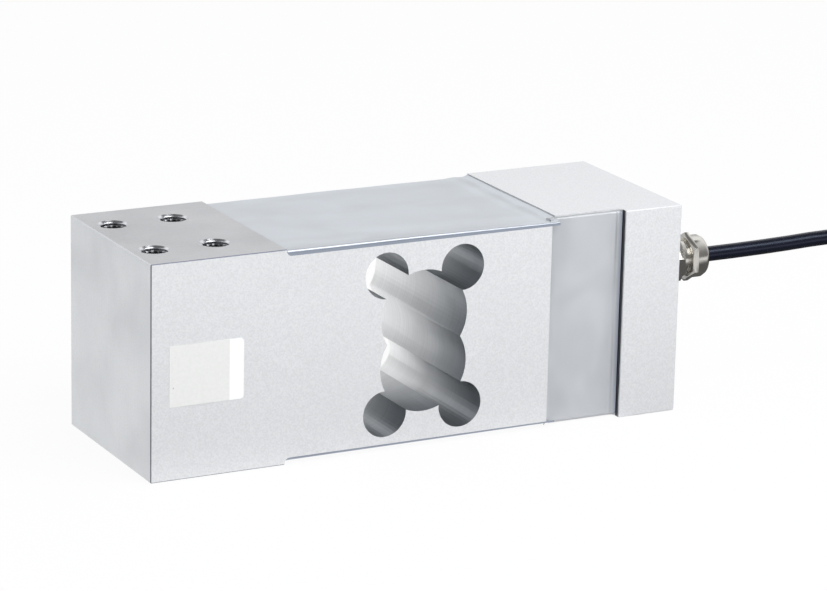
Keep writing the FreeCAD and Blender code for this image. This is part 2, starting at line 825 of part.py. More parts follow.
def make_sealing_ring():
    body = turned_body("SealingRing", [
        ("0", "Sizes.gland_thread_diameter / 2"),
        ("Sizes.ring_thickness", "Sizes.gland_thread_diameter / 2"),
        ("Sizes.ring_thickness", "Sizes.ring_diameter / 2"),
        ("0", "Sizes.ring_diameter / 2"),
    ])
    place_on_gland_axis(body)
    return wanted("gland_sealing_ring", body)


HEX_START = "Sizes.ring_thickness"
HEX_END = "Sizes.ring_thickness + Sizes.body_hex_length"
COLLAR_END = HEX_END + " + Sizes.collar_length"
NECK_END = COLLAR_END + " + Sizes.neck_length"


# a hexagon's chamfer as shares of its width over the flats: beyond the corners, where it ends, its height
HEX_BEYOND = 0.58
HEX_FACE = 0.49
HEX_CHAMFER = 0.05
BORE_TOOL_LENGTH = 40.0
BORE_TOOL_START = -5.0


def chamfered_hexagon(name, flats, start, length, turn, chamfer_near):
    """A hexagon with its corners turned off at the end that shows, the near or the far one."""
    prism = doc.addObject("Part::Prism", name + "Prism")
    prism.Polygon = 6
    prism.setExpression("Circumradius", "Sizes.%s / sqrt(3)" % flats)
    prism.setExpression("Height", length)
    lathe = new_body(name + "Lathe")
    sketch = new_sketch(lathe, "XZ_Plane", name + "LatheOutline")
    wide, narrow, chamfer = ["Sizes.%s * %.2f" % (flats, share)
                             for share in (HEX_BEYOND, HEX_FACE, HEX_CHAMFER)]
    low = [(narrow, "0"), (wide, chamfer)] if chamfer_near else [(wide, "0")]
    high = [(wide, length)] if chamfer_near else [(wide, "%s - %s" % (length, chamfer)), (narrow, length)]
    draw_outline(sketch, [("0", "0")] + low + high + [("0", length)])
    revolve(lathe, sketch, name + "Cone", "V_Axis")
    common = doc.addObject("Part::Common", name + "Hexagon")
    common.Base = prism
    common.Tool = lathe
    common.Placement = Placement(Vector(0, 0, 0),
                                 Rotation(Vector(1, 0, 0), turn) * Rotation(Vector(0, 1, 0), 90))
    bind(common, Placement__Base__x=start)
    return common


def make_gland_body():
    """The gland's screwed-in half: thread, hexagon, collar and the neck that carries the nut."""
    start = "-Sizes.gland_thread_length"
    thread = "Sizes.gland_thread_diameter / 2"
    collar = "Sizes.collar_diameter / 2"
    bore = "Sizes.cable_bore_diameter / 2"
    seat = "Sizes.cage_bore_diameter / 2"
    core = turned_body("GlandCore", [
        (start, bore), (start, thread), (HEX_END, thread), (HEX_END, collar),
        (COLLAR_END, collar), (COLLAR_END, thread), (NECK_END, thread), (NECK_END, seat),
        ("Sizes.cage_bore_start", seat), ("Sizes.cage_bore_start", bore),
    ])
    hexagon = chamfered_hexagon("BodyHex", "body_flats", HEX_START, "Sizes.body_hex_length", BODY_TURN,
                                chamfer_near=False)
    bored = cut("BodyHexBored", hexagon, bore_tool("BodyHexBore", "Sizes.gland_thread_diameter"))
    fuse = doc.addObject("Part::Fuse", "GlandBody")
    fuse.Base = core
    fuse.Tool = bored
    fuse.Refine = True
    place_on_gland_axis(fuse)
    return wanted("gland_body", fuse)


def bore_tool(name, diameter):
    """A long cylinder on the X axis that clears the middle of a hexagon."""
    tool = doc.addObject("Part::Cylinder", name)
    tool.setExpression("Radius", diameter + " / 2")
    tool.Height = BORE_TOOL_LENGTH
    tool.Placement = Placement(Vector(BORE_TOOL_START, 0, 0), Rotation(Vector(0, 1, 0), 90))
    return tool


def make_cap_nut():
    """The cap nut: a thin hexagon running into a round nose with a rounded end."""
    outer = "Sizes.nut_diameter / 2"
    thread = "Sizes.gland_thread_diameter / 2"
    exit_hole = "Sizes.nut_exit_diameter / 2"
    core = turned_body("NutCore", [
        ("Sizes.nut_start", thread), ("Sizes.nut_start", outer + " - Sizes.nut_edge"),
        ("Sizes.nut_start + Sizes.nut_edge", outer), ("Sizes.nut_end - Sizes.nut_nose", outer),
        ("Sizes.nut_end - Sizes.nut_nose_step", outer + " - Sizes.nut_nose_step"),
        ("Sizes.nut_end", outer + " - Sizes.nut_nose"), ("Sizes.nut_end", exit_hole),
        ("Sizes.nut_thread_end + Sizes.nut_cone_length", exit_hole),
        ("Sizes.nut_thread_end", "Sizes.nut_cone_diameter / 2"), ("Sizes.nut_thread_end", thread),
    ])
    hexagon = chamfered_hexagon("NutHex", "nut_flats", "Sizes.nut_start", "Sizes.nut_hex_length",
                                30 + NUT_TURN, chamfer_near=True)
    bored = cut("NutHexBored", hexagon, bore_tool("NutHexBore", "Sizes.gland_thread_diameter"))
    fuse = doc.addObject("Part::Fuse", "CapNut")
    fuse.Base = core
    fuse.Tool = bored
    place_on_gland_axis(fuse)
    return wanted("gland_cap_nut", fuse)


def make_clamping_cage():
    """The plastic cage whose slotted fingers the cap nut presses inwards."""
    outer = "Sizes.cage_bore_diameter / 2"
    inner = outer + " - Sizes.cage_wall"
    body = turned_body("ClampingCage", [
        ("Sizes.cage_bore_start", inner), ("Sizes.cage_bore_start", outer),
        ("Sizes.nut_thread_end - Sizes.cage_gap", outer), ("Sizes.cage_end", outer + " - Sizes.cage_taper"),
        ("Sizes.cage_end", inner),
    ])
    sketch = new_sketch(body, "XY_Plane", "SlotSketch")
    draw_rectangle(sketch, "Sizes.cage_bore_start + Sizes.cage_ring_length", "Sizes.cage_end + " + CLEAR,
                   "-Sizes.cage_slot / 2", "Sizes.cage_slot / 2")
    slot = pocket(body, sketch, "Slot", "Sizes.cage_bore_diameter")
    ring = body.newObject("PartDesign::PolarPattern", "Slots")
    ring.Originals = [slot]
    ring.Axis = (sketch, ["H_Axis"])
    ring.Angle = 360.0
    ring.Occurrences = 6
    body.Tip = ring
    place_on_gland_axis(body)
    return wanted("gland_clamping_cage", body)


def make_rubber_seal():
    """The rubber sleeve round the cable, with a lip that shows at the nut's mouth."""
    inner = "Sizes.cable_diameter / 2"
    outer = "Sizes.cage_bore_diameter / 2 - Sizes.cage_wall"
    lip = "Sizes.nut_exit_diameter / 2"
    start = "Sizes.cage_bore_start + Sizes.seal_inset"
    body = turned_body("RubberSeal", [
        (start, inner), (start, outer), ("Sizes.cage_end", outer), ("Sizes.cage_end", lip),
        ("Sizes.seal_end - Sizes.seal_edge", lip), ("Sizes.seal_end", lip + " - Sizes.seal_edge"),
        ("Sizes.seal_end", inner),
    ])
    place_on_gland_axis(body)
    return wanted("gland_rubber_seal", body)


def make_cable_entry():
    """The stretch of jacketed cable that the gland holds."""
    body = new_body("CableEntry")
    sketch = new_sketch(body, "YZ_Plane", "CableEntrySketch", "Sizes.jacket_start")
    draw_circle(sketch, "0", "0", "Sizes.cable_diameter")
    pad(body, sketch, "CableEntryRun", "Sizes.jacket_end - Sizes.jacket_start")
    place_on_gland_axis(body)
    return wanted("cable_entry", body)


# ---------------------------------------------------------------------------- cable and its coil
COIL_TOP = size("coil_layers") * size("cable_diameter")
COIL_MIDDLE = Vector(size("coil_along"), size("coil_across"), 0)
TAIL_HEIGHT = COIL_TOP + size("sleeve_diameter") / 2


def on_coil(bearing, radius, height):
    """A point over the coil, by its bearing in degrees from +X."""
    angle = math.radians(bearing)
    return COIL_MIDDLE + Vector(radius * math.cos(angle), radius * math.sin(angle), height)


def make_coil(tie):
    """The stored turns as one ring of their outer shape, which rests on the tie's strap and the surface."""
    body = new_body("CoilRing")
    sketch = new_sketch(body, "XZ_Plane", "CoilSection")
    half = "Sizes.coil_columns * Sizes.cable_diameter / 2"
    draw_rectangle(sketch, "Sizes.coil_radius - " + half, "Sizes.coil_radius + " + half, "0",
                   "Sizes.coil_layers * Sizes.cable_diameter")
    revolve(body, sketch, "CoilTurned", "V_Axis")
    reach = size("coil_columns") * size("cable_diameter") / 2
    rims = (size("coil_radius") - reach, size("coil_radius") + reach)

    def on_rim(place):
        radius = math.hypot(place.x, place.y)
        return any(near(radius, rim) for rim in rims) and (near(place.z, 0) or near(place.z, COIL_TOP))

    soften(body, "Chamfer", "CoilRims", "Sizes.coil_rounding", on_rim)
    bind(body, Placement__Base__x="Sizes.coil_along", Placement__Base__y="Sizes.coil_across")
    return wanted("cable_coil", cut("TiedCoil", body, tie))


def make_cable_run(coil):
    """The cable from the gland, down to the surface and into the coil's outermost turn."""
    shape, radii, length = tube_shape(CABLE_ROUTE, size("cable_diameter"))
    print("cable run: length %.1f mm, arc radii" % length, [round(radius, 1) for radius in radii])
    run = feature_of("CableTube", shape)
    return wanted("cable_run", cut("CableRun", run, coil))


def make_tie():
    """A strap pulled tight round the coil's section, flush with its underside, with a head outside it."""
    reach = size("cable_diameter") / 2
    side = (size("coil_columns") - 1) * reach
    width = size("tie_width")
    thickness = size("tie_thickness")
    low = reach + thickness
    high = COIL_TOP - reach
    corners = [Vector(side, 0, low), Vector(side, 0, high), Vector(-side, 0, high), Vector(-side, 0, low)]
    core = Part.makePolygon(corners + corners[:1])
    faces = [Part.Face(core.makeOffset2D(reach + extra, 0)) for extra in (thickness, size("tie_slack"))]
    strap, hollow = [face.extrude(Vector(0, width, 0)) for face in faces]
    overhang = size("tie_head_overhang")
    head = Part.makeBox(size("tie_head_depth"), width + 2 * overhang, size("tie_head_height"),
                        Vector(side + reach + thickness / 2, -overhang, size("tie_head_base")))
    shape = strap.fuse(head).cut(hollow)
    shape.translate(Vector(0, -width / 2, 0))
    item = feature_of("TieStrap", shape)
    item.Placement = Placement(on_coil(TIE_BEARING, size("coil_radius"), 0),
                               Rotation(Vector(0, 0, 1), TIE_BEARING))
    return wanted("coil_tie", item)


def sleeve_heading():
    """The way the sleeve points: round the coil at its own start."""
    return Rotation(Vector(0, 0, 1), SLEEVE_BEARING + 90).multVec(Vector(1, 0, 0))


def make_sleeve():
    """The moulded sleeve that closes the jacket's end, lying on the coil."""
    rod = doc.addObject("Part::Cylinder", "EndSleeve")
    rod.setExpression("Radius", "Sizes.sleeve_diameter / 2")
    rod.setExpression("Height", "Sizes.sleeve_length")
    rod.Placement = Placement(on_coil(SLEEVE_BEARING, size("coil_radius"), TAIL_HEIGHT),
                              Rotation(Vector(0, 0, 1), sleeve_heading()))
    return wanted("cable_end_sleeve", rod)


# each lead's place in the sleeve, as a bearing round its middle, and how far it fans out over the coil
TAIL_PLACES = (
    ("lead_red", 180, -6.0),
    ("lead_black", 120, -2.0),
    ("lead_green", 60, 2.0),
    ("lead_white", 0, 6.0),
    ("lead_blue", -60, 4.0),
    ("lead_yellow", -120, -4.0),
    ("shield_drain", None, 0.0),
)
TAIL_RING = 2.1
# a lead's course past the sleeve: degrees round the coil, distance outside its middle, share of its
# fan and share of its way down
TAIL_COURSE = ((16, 4.5, 0.4, 0.3), (34, 3.0, 0.7, 0.8), (52, 1.0, 1.0, 1.0))
TAIL_END = 72
TAIL_STAGGER = 2


def make_tail():
    """The six coloured leads and the shield's drain wire, with their tinned tips as one group."""
    tips = []
    for number, (name, bearing, fan) in enumerate(TAIL_PLACES):
        shape, tip = tail_shape(number, bearing, fan)
        wanted(name, feature_of("Tail" + name, shape))
        tips.append(tip)
    wanted("tinned_tips", feature_of("TinnedTips", Part.makeCompound(tips)))


def tail_shape(number, bearing, fan):
    """One lead from the sleeve's end, fanned out over the coil's top, and its bare tip."""
    diameter = size("tail_diameter")
    middle = size("coil_radius")
    low = COIL_TOP + diameter / 2 + size("tail_gap")
    outward, upward = 0.0, 0.0
    if bearing is not None:
        outward = TAIL_RING * math.cos(math.radians(bearing))
        upward = TAIL_RING * math.sin(math.radians(bearing))
    heading = sleeve_heading()
    start = on_coil(SLEEVE_BEARING, middle + outward, TAIL_HEIGHT + upward) + heading * size("sleeve_length")
    first = SLEEVE_BEARING + math.degrees(math.atan2(size("sleeve_length"), middle))
    high = TAIL_HEIGHT + upward
    points = [start, start + heading * size("tail_straight")]
    for degrees, outside, fanned, lowered in TAIL_COURSE:
        radius = middle + outside + fan * fanned
        points.append(on_coil(first + degrees, radius, high + (low - high) * lowered))
    points.append(on_coil(first + TAIL_END + TAIL_STAGGER * (number % 3), middle + fan, low))
    leaving = (points[-1] - points[-2]).normalize()
    tip_end = points[-1] + leaving * size("tip_length")
    return wire_shape(points, diameter), wire_shape([points[-1], tip_end], size("tip_diameter"))


# ----------------------------------------------------------------------------------- label
def make_label():
    """The bare adhesive label on the front face."""
    body = new_body("Label")
    sketch = new_sketch(body, "XZ_Plane", "LabelSketch")
    draw_rectangle(sketch, "-Sizes.label_left", "-Sizes.label_right", "Sizes.label_low",
                   "Sizes.label_high")
    pad(body, sketch, "LabelSheet", "Sizes.label_thickness")
    edges = (-size("label_left"), -size("label_right"))
    ends = (size("label_low"), size("label_high"))

    def at_corner(place):
        return any(near(place.x, x) for x in edges) and any(near(place.z, z) for z in ends)

    soften(body, "Fillet", "LabelCorners", "Sizes.label_corner", at_corner)
    bind(body, Placement__Base__y="-" + HALF_WIDTH)
    return wanted("blank_label", body)


# ------------------------------------------------------------------------------------ assembly
def make_wiring():
    """Everything sealed inside the body, then the pads and the plug that close round it."""
    flexes = []
    for side in (on_top, underneath):
        make_gauges(side)
        flexes.append(make_gauge_flex(side))
    make_temperature_resistor()
    pins = make_pins()
    wanted("circuit_board", cut("DrilledBoard", make_board(), pins))
    make_sockets()
    make_trimmers()
    make_entry_conductors()
    for side, flex in zip((on_top, underneath), flexes):
        make_recess_pad(side, flex)
    make_side_pad(flexes)
    make_plug(flexes)


def make_gland():
    make_sealing_ring()
    make_gland_body()
    make_clamping_cage()
    make_rubber_seal()
    make_cap_nut()
    make_cable_entry()


def make_cable():
    tie = make_tie()
    coil = make_coil(tie)
    make_cable_run(coil)
    make_sleeve()
    make_tail()


make_wiring()
make_gland()
make_cable()
make_label()


def finish_and_write():
    """Recompute, check every object and every sub-part, then write one file for each sub-part."""
    doc.recompute()
    for item in doc.Objects:
        if "Invalid" in item.State or "Error" in item.State:
            raise RuntimeError("%s is %s" % (item.Label, item.State))
    for item in sub_parts:
        if item.Shape.isNull() or not item.Shape.isValid():
            raise RuntimeError("%s has no valid shape" % item.Label)
    os.makedirs("parts", exist_ok=True)
    for item in sub_parts:
        item.Shape.exportStep(os.path.join("parts", item.Label + ".step"))
        print(item.Label, "%.1f mm3" % item.Shape.Volume)


finish_and_write()
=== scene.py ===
import json
import logging
import math
from collections.abc import Callable, Sequence
from dataclasses import dataclass, field
from enum import Enum
from typing import Protocol

import bmesh
import bpy
from mathutils import Matrix, Vector

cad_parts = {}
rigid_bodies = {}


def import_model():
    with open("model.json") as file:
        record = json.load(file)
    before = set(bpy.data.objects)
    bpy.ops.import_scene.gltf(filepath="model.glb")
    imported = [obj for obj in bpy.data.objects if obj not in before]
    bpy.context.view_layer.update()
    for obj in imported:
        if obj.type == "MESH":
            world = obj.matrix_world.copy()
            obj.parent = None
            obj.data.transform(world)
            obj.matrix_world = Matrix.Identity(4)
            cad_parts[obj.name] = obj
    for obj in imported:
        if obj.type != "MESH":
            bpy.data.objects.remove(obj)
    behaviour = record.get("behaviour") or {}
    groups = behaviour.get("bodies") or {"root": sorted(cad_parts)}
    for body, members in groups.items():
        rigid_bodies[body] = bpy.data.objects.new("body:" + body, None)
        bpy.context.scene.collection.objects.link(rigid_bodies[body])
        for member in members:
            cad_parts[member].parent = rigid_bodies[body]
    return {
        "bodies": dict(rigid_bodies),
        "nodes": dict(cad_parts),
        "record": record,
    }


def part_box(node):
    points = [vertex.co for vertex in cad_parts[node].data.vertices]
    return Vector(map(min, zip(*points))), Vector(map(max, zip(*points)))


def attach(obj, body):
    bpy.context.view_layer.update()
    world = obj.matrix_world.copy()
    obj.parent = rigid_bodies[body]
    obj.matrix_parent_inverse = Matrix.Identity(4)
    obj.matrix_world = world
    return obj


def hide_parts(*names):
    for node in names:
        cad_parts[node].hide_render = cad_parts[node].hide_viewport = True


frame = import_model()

# A single point load cell: one machined block with its gauges sealed in, a bare label, a cable
# gland and a coiled cable. X runs along the block to the gland, Y from the label to the back and
# Z up. Names that end in _mm or _m are lengths in that unit, and angles are in degrees.

log = logging.getLogger("load_cell")

MM = 0.001
BODY = next(iter(frame["bodies"]))
DOUBLES_M = 1e-7
NODE_DOUBLES_M = 1e-6

Socket = bpy.types.NodeSocket
Colour = tuple[float, float, float]
Paint = Colour | Socket
Span = tuple[float, float]
Box = tuple[Vector, Vector]

WHITE = (1.0, 1.0, 1.0, 1.0)
NOISE_MIDDLE: Span = (0.3, 0.7)
ROLLED_ANGLE = 50.0


# ------------------------------------------------------------------------------ meshes
def point_mm(x: float, y: float, z: float) -> Vector:
    """Give a point stated in millimetres in metres."""
    return Vector((x, y, z)) * MM


def box_mm(node: str) -> Box:
    """Give a construction node's lowest and highest corners in millimetres."""
    low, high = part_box(node)
    return low / MM, high / MM


def remove_startup_objects() -> None:
    """Delete what an empty Blender starts with, so that only the frame is left."""
    kept = set(frame["nodes"].values()) | set(frame["bodies"].values())
    for item in list(bpy.data.objects):
        if item not in kept:
            bpy.data.objects.remove(item)


def new_object(name: str, data: bpy.types.ID) -> bpy.types.Object:
    """Put new data into the scene as an object at the world's origin.

    Args:
        name: The object's name.
        data: Its mesh, curve, lamp or camera data.

    Returns:
        The new object.
    """
    item = bpy.data.objects.new(name, data)
    bpy.context.scene.collection.objects.link(item)
    return item


def object_of(name: str, shape: bmesh.types.BMesh, tidy: bool = True) -> bpy.types.Object:
    """Turn a bmesh into an object.

    Args:
        name: The piece's name.
        shape: The mesh, in metres; it is freed.
        tidy: Whether to merge doubles and turn the faces outwards first.

    Returns:
        The new object.
    """
    if tidy:
        bmesh.ops.remove_doubles(shape, verts=shape.verts, dist=DOUBLES_M)
        bmesh.ops.recalc_face_normals(shape, faces=shape.faces)
    mesh = bpy.data.meshes.new(name)
    shape.to_mesh(mesh)
    shape.free()
    return new_object(name, mesh)


def merged_copy(node: str) -> bmesh.types.BMesh:
    """Copy a construction node's mesh with its loose triangles joined up.

    Args:
        node: The construction node's name.

    Returns:
        The merged mesh, in metres, with one material and no UV map.
    """
    shape = bmesh.new()
    shape.from_mesh(frame["nodes"][node].data)
    for layer in list(shape.loops.layers.uv):
        shape.loops.layers.uv.remove(layer)
    bmesh.ops.remove_doubles(shape, verts=shape.verts, dist=NODE_DOUBLES_M)
    for face in shape.faces:
        face.material_index = 0
    return shape


def cut_off(shape: bmesh.types.BMesh, place: Vector, outward: Vector) -> None:
    """Cut a solid off at a plane and close the cut.

    Args:
        shape: The solid, in metres.
        place: A point of the plane, in millimetres.
        outward: The direction of the side that goes.
    """
    parts = [*shape.verts, *shape.edges, *shape.faces]
    cut = bmesh.ops.bisect_plane(shape, geom=parts, plane_co=place * MM, plane_no=outward,
                                 clear_outer=True)
    rim = [part for part in cut["geom_cut"] if isinstance(part, bmesh.types.BMEdge)]
    bmesh.ops.holes_fill(shape, edges=rim)


def settled(item: bpy.types.Object) -> bpy.types.Object:
    """Turn an object's modifiers into plain mesh.

    Args:
        item: A mesh object with live modifiers.

    Returns:
        The same object, with no modifier left.
    """
    depsgraph = bpy.context.evaluated_depsgraph_get()
    mesh = bpy.data.meshes.new_from_object(item.evaluated_get(depsgraph), depsgraph=depsgraph)
    mesh.name = item.name
    item.modifiers.clear()
    item.data = mesh
    return item


def shade_by_angle(item: bpy.types.Object, degrees: float = 30.0) -> None:
    """Shade a mesh smooth and keep its sharper edges crisp.

    Args:
        item: The mesh object.
        degrees: The angle between two faces from which their edge is sharp.
    """
    mesh = item.data
    mesh.shade_smooth()
    mesh.set_sharp_from_angle(angle=math.radians(degrees))


def soften_edges(item: bpy.types.Object, width_mm: float, degrees: float = 30.0,
                 segments: int = 2) -> None:
    """Round a mesh's sharp edges by a hair, so that they catch the light.

    Args:
        item: The mesh object.
        width_mm: How wide the rounding is.
        degrees: The angle between two faces from which their edge is rounded.
        segments: How many faces make the rounding.
    """
    bevel = item.modifiers.new("EdgeBreak", "BEVEL")
    bevel.width = width_mm * MM
    bevel.segments = segments
    bevel.limit_method = "ANGLE"
    bevel.angle_limit = math.radians(degrees)
    bevel.harden_normals = False
    settled(item)


def carve(item: bpy.types.Object, cutter: bpy.types.Object) -> None:
    """Cut one object's solids out of another.

    Args:
        item: The object that is cut.
        cutter: The object whose solids are taken away; it is deleted.
    """
    boolean = item.modifiers.new("Carve", "BOOLEAN")
    boolean.operation = "DIFFERENCE"
    boolean.solver = "EXACT"
    boolean.object = cutter
    settled(item)
    bpy.data.objects.remove(cutter)


def dress(item: bpy.types.Object, materials: Sequence[bpy.types.Material]) -> None:
    """Give a new object these materials, in this order."""
    for material in materials:
        item.data.materials.append(material)


def install(item: bpy.types.Object, slot: str, *nodes: str) -> bpy.types.Object:
    """Fix a finished piece to the body.

    Args:
        item: The piece.
        slot: The record's material slot; not used.
        nodes: The construction nodes that it stands for, if any.

    Returns:
        The piece.
    """
    if nodes:
        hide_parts(*nodes)
    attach(item, BODY)
    log.info("piece %s stands for %s", item.name, ", ".join(nodes) or "nothing else")
    return item


# --------------------------------------------------------------------------- node trees
class NodeTree:
    """A node tree that nodes are added to and linked up in one call."""

    def __init__(self, tree: bpy.types.NodeTree) -> None:
        """Write into this tree."""
        self.tree = tree

    def add(self, kind: str, sockets: dict | None = None, **settings: object) -> bpy.types.Node:
        """Add a node.

        Args:
            kind: The node's type.
            sockets: What its inputs are given, by name or number: values or other nodes' outputs.
            settings: The node's own properties.

        Returns:
            The new node.
        """
        node = self.tree.nodes.new(kind)
        for key, value in settings.items():
            setattr(node, key, value)
        for key, value in (sockets or {}).items():
            self.feed(node.inputs[key], value)
        return node

    def feed(self, socket: Socket, value: object) -> None:
        """Feed one input.

        Args:
            socket: The input.
            value: Another node's output to link to it, or a plain value to set.
        """
        if isinstance(value, Socket):
            self.tree.links.new(value, socket)
        else:
            socket.default_value = value


class Shader(NodeTree):
    """Writes one material's node tree, from the object's own coordinates to its surface."""

    def __init__(self, name: str) -> None:
        """Start a material with a plain surface.

        Args:
            name: The material's name.
        """
        self.material = bpy.data.materials.new(name)
        self.material.use_nodes = True
        super().__init__(self.material.node_tree)
        self.surface = self.tree.nodes["Principled BSDF"]
        self.place = self.add("ShaderNodeTexCoord").outputs["Object"]

    def set(self, **sockets: object) -> "Shader":
        """Set the surface's inputs.

        Args:
            sockets: The inputs, their names written with underscores: values or outputs.

        Returns:
            The same shader.
        """
        for key, value in sockets.items():
            if isinstance(value, tuple):
                value = (*value, 1.0)
            self.feed(self.surface.inputs[key.replace("_", " ")], value)
        return self

    def stretched(self, x: float, y: float, z: float) -> Socket:
        """Give the coordinates scaled by one factor along each axis."""
        sockets = {"Vector": self.place, "Scale": (x, y, z)}
        return self.add("ShaderNodeMapping", sockets).outputs["Vector"]

    def along(self, axis: int) -> Socket:
        """Give one of the object's coordinates, in metres."""
        return self.add("ShaderNodeSeparateXYZ", {"Vector": self.place}).outputs[axis]

    def noise(self, per_mm: float, detail: float = 2.0, place: Socket | None = None,
              distortion: float = 0.0) -> Socket:
        """Add a noise.

        Args:
            per_mm: About how many features it has a millimetre.
            detail: How many finer layers it has.
            place: The coordinates it is read at; the object's own unless others are given.
            distortion: How far its features are drawn out of shape.

        Returns:
            A value from 0 to 1.
        """
        sockets = {"Vector": place or self.place, "Scale": per_mm / MM, "Detail": detail,
                   "Distortion": distortion}
        return self.add("ShaderNodeTexNoise", sockets).outputs["Fac"]

    def math(self, operation: str, *values: object) -> Socket:
        """Combine values or outputs with one arithmetic operation."""
        return self.add("ShaderNodeMath", dict(enumerate(values)), operation=operation).outputs[0]

    def ramp(self, value: Socket, low: float, high: float, start: float, end: float) -> Socket:
        """Map a value from low..high to start..end and hold it there outside."""
        sockets = {"Value": value, "From Min": low, "From Max": high, "To Min": start,
                   "To Max": end}
        return self.add("ShaderNodeMapRange", sockets).outputs["Result"]

    def vary(self, pattern: Socket, start: float, end: float,
             spread: Span = NOISE_MIDDLE) -> Socket:
        """Spread the range that most of a noise lies in over start..end."""
        return self.ramp(pattern, *spread, start, end)

    def blend(self, share: Socket | float, first: Paint, second: Paint) -> Socket:
        """Blend two colours.

        Args:
            share: How much of the second colour there is, from 0 to 1.
            first: The colour at 0, or an output.
            second: The colour at 1, or an output.

        Returns:
            The blended colour.
        """
        node = self.add("ShaderNodeMix", data_type="RGBA")
        self.feed(node.inputs["Factor"], share)
        for key, colour in ((6, first), (7, second)):
            self.feed(node.inputs[key], (*colour, 1.0) if isinstance(colour, tuple) else colour)
        return node.outputs[2]

    def mottle(self, pattern: Socket, dark: Paint, light: Paint,
               spread: Span = NOISE_MIDDLE) -> Socket:
        """Blend two colours by a noise's whole range."""
        return self.blend(self.vary(pattern, 0.0, 1.0, spread), dark, light)

    def bump(self, height: Socket, depth_mm: float, strength: float) -> Socket:
        """Give the normal of a fine relief of that depth and strength."""
        sockets = {"Strength": strength, "Distance": depth_mm * MM, "Height": height}
        return self.add("ShaderNodeBump", sockets).outputs["Normal"]


class Growth(NodeTree):
    """Writes a Geometry Nodes tree with named sizes, and grows plain meshes from it."""

    def __init__(self, name: str) -> None:
        """Start a tree whose only output is its geometry.

        Args:
            name: The tree's name.
        """
        super().__init__(bpy.data.node_groups.new(name, "GeometryNodeTree"))
        self.tree.interface.new_socket("Geometry", in_out="OUTPUT",
                                       socket_type="NodeSocketGeometry")
        self.sizes = self.tree.nodes.new("NodeGroupInput")
        self.name = name

    def size(self, name: str, kind: str = "Float") -> Socket:
        """Add a named input and give its socket."""
        self.tree.interface.new_socket(name, in_out="INPUT", socket_type="NodeSocket" + kind)
        return self.sizes.outputs[name]

    def end(self, geometry: Socket, material: bpy.types.Material) -> None:
        """Close the tree: instances become real, take their material and leave by the output.

        Args:
            geometry: What the tree has made.
            material: The material that all of it gets.
        """
        real = self.add("GeometryNodeRealizeInstances", {0: geometry})
        dressed = self.add("GeometryNodeSetMaterial", {0: real.outputs[0]})
        dressed.inputs["Material"].default_value = material
        self.material = material
        self.add("NodeGroupOutput", {0: dressed.outputs[0]})

    def grow(self, name: str, **values: object) -> bpy.types.Object:
        """Grow one object from the tree.

        Args:
            name: The object's name.
            values: The tree's inputs, their names written with underscores.

        Returns:
            The object, with plain mesh and no modifier.
        """
        item = new_object(name, bpy.data.meshes.new(name))
        modifier = item.modifiers.new(self.name, "NODES")
        modifier.node_group = self.tree
        for socket in self.tree.interface.items_tree:
            if socket.in_out == "INPUT":
                modifier[socket.identifier] = values[socket.name.replace(" ", "_")]
        settled(item)
        item.data.materials.clear()
        dress(item, [self.material])
        return item


# ------------------------------------------------------------------------------ finishes
def shade(colour: Colour, factor: float) -> Colour:
    """Give a colour lighter or darker by a factor."""
    return tuple(channel * factor for channel in colour)


def tones(colour: Colour, factors: Span) -> tuple[Colour, Colour]:
    """Give a colour's dark and light tones."""
    return shade(colour, factors[0]), shade(colour, factors[1])


class Finish(Protocol):
    """What a piece's surface looks like."""

    def material(self) -> bpy.types.Material:
        """Make the finish's material."""


@dataclass(frozen=True)
class BlastedAluminium:
    """Aluminium blasted with fine grit: pale, matt and finely speckled."""

    colour: Colour = (0.83, 0.835, 0.85)
    roughness: float = 0.6
    metallic: float = 0.36
    grain_per_mm: float = 1.7
    grain_mm: float = 0.03
    grain_tones: Span = (0.94, 1.05)
    cloud_tone: float = 0.93
    pit_tone: float = 0.55

    def material(self) -> bpy.types.Material:
        """Make the finish's material.

        Returns:
            A grain over faint clouds, with a few darker pits.
        """
        s = Shader("blasted_aluminium")
        grain = s.noise(per_mm=self.grain_per_mm, detail=3.0)
        clouds = s.noise(per_mm=0.05)
        pits = s.ramp(s.noise(per_mm=0.8, detail=1.0), 0.76, 0.8, 0.0, 0.3)
        base = s.mottle(grain, *tones(self.colour, self.grain_tones), spread=(0.35, 0.65))
        base = s.blend(s.vary(clouds, 0.0, 0.12), base, shade(self.colour, self.cloud_tone))
        base = s.blend(pits, base, shade(self.colour, self.pit_tone))
        return s.set(Base_Color=base, Metallic=self.metallic, Roughness=self.roughness,
                     Normal=s.bump(grain, self.grain_mm, strength=0.3)).material


@dataclass(frozen=True)
class MilledAluminium:
    """Aluminium left as the face mill cut it: a little darker and bluer, with a faint lay."""

    name: str
    colour: Colour
    lay_scale: tuple[float, float, float]
    roughness: float = 0.42
    metallic: float = 0.92
    lay_tones: Span = (0.97, 1.03)
    lay_mm: float = 0.01
    cloud_tone: float = 0.88
    grain_tone: float = 0.86

    def material(self) -> bpy.types.Material:
        """Make the finish's material.

        Returns:
            A lay along one axis, with clouds and a fine grain over it.
        """
        s = Shader(self.name)
        lay = s.noise(per_mm=1.0, detail=3.0, place=s.stretched(*self.lay_scale))
        clouds = s.noise(per_mm=0.04, detail=3.0, distortion=0.4)
        grain = s.noise(per_mm=1.6)
        base = s.mottle(lay, *tones(self.colour, self.lay_tones))
        base = s.blend(s.vary(clouds, 0.0, 0.4, (0.35, 0.7)), base,
                       shade(self.colour, self.cloud_tone))
        base = s.blend(s.vary(grain, 0.0, 0.5, (0.45, 0.75)), base,
                       shade(self.colour, self.grain_tone))
        rough = s.vary(clouds, self.roughness - 0.05, self.roughness + 0.07)
        return s.set(Base_Color=base, Metallic=self.metallic, Roughness=rough,
                     Normal=s.bump(lay, self.lay_mm, strength=0.1)).material


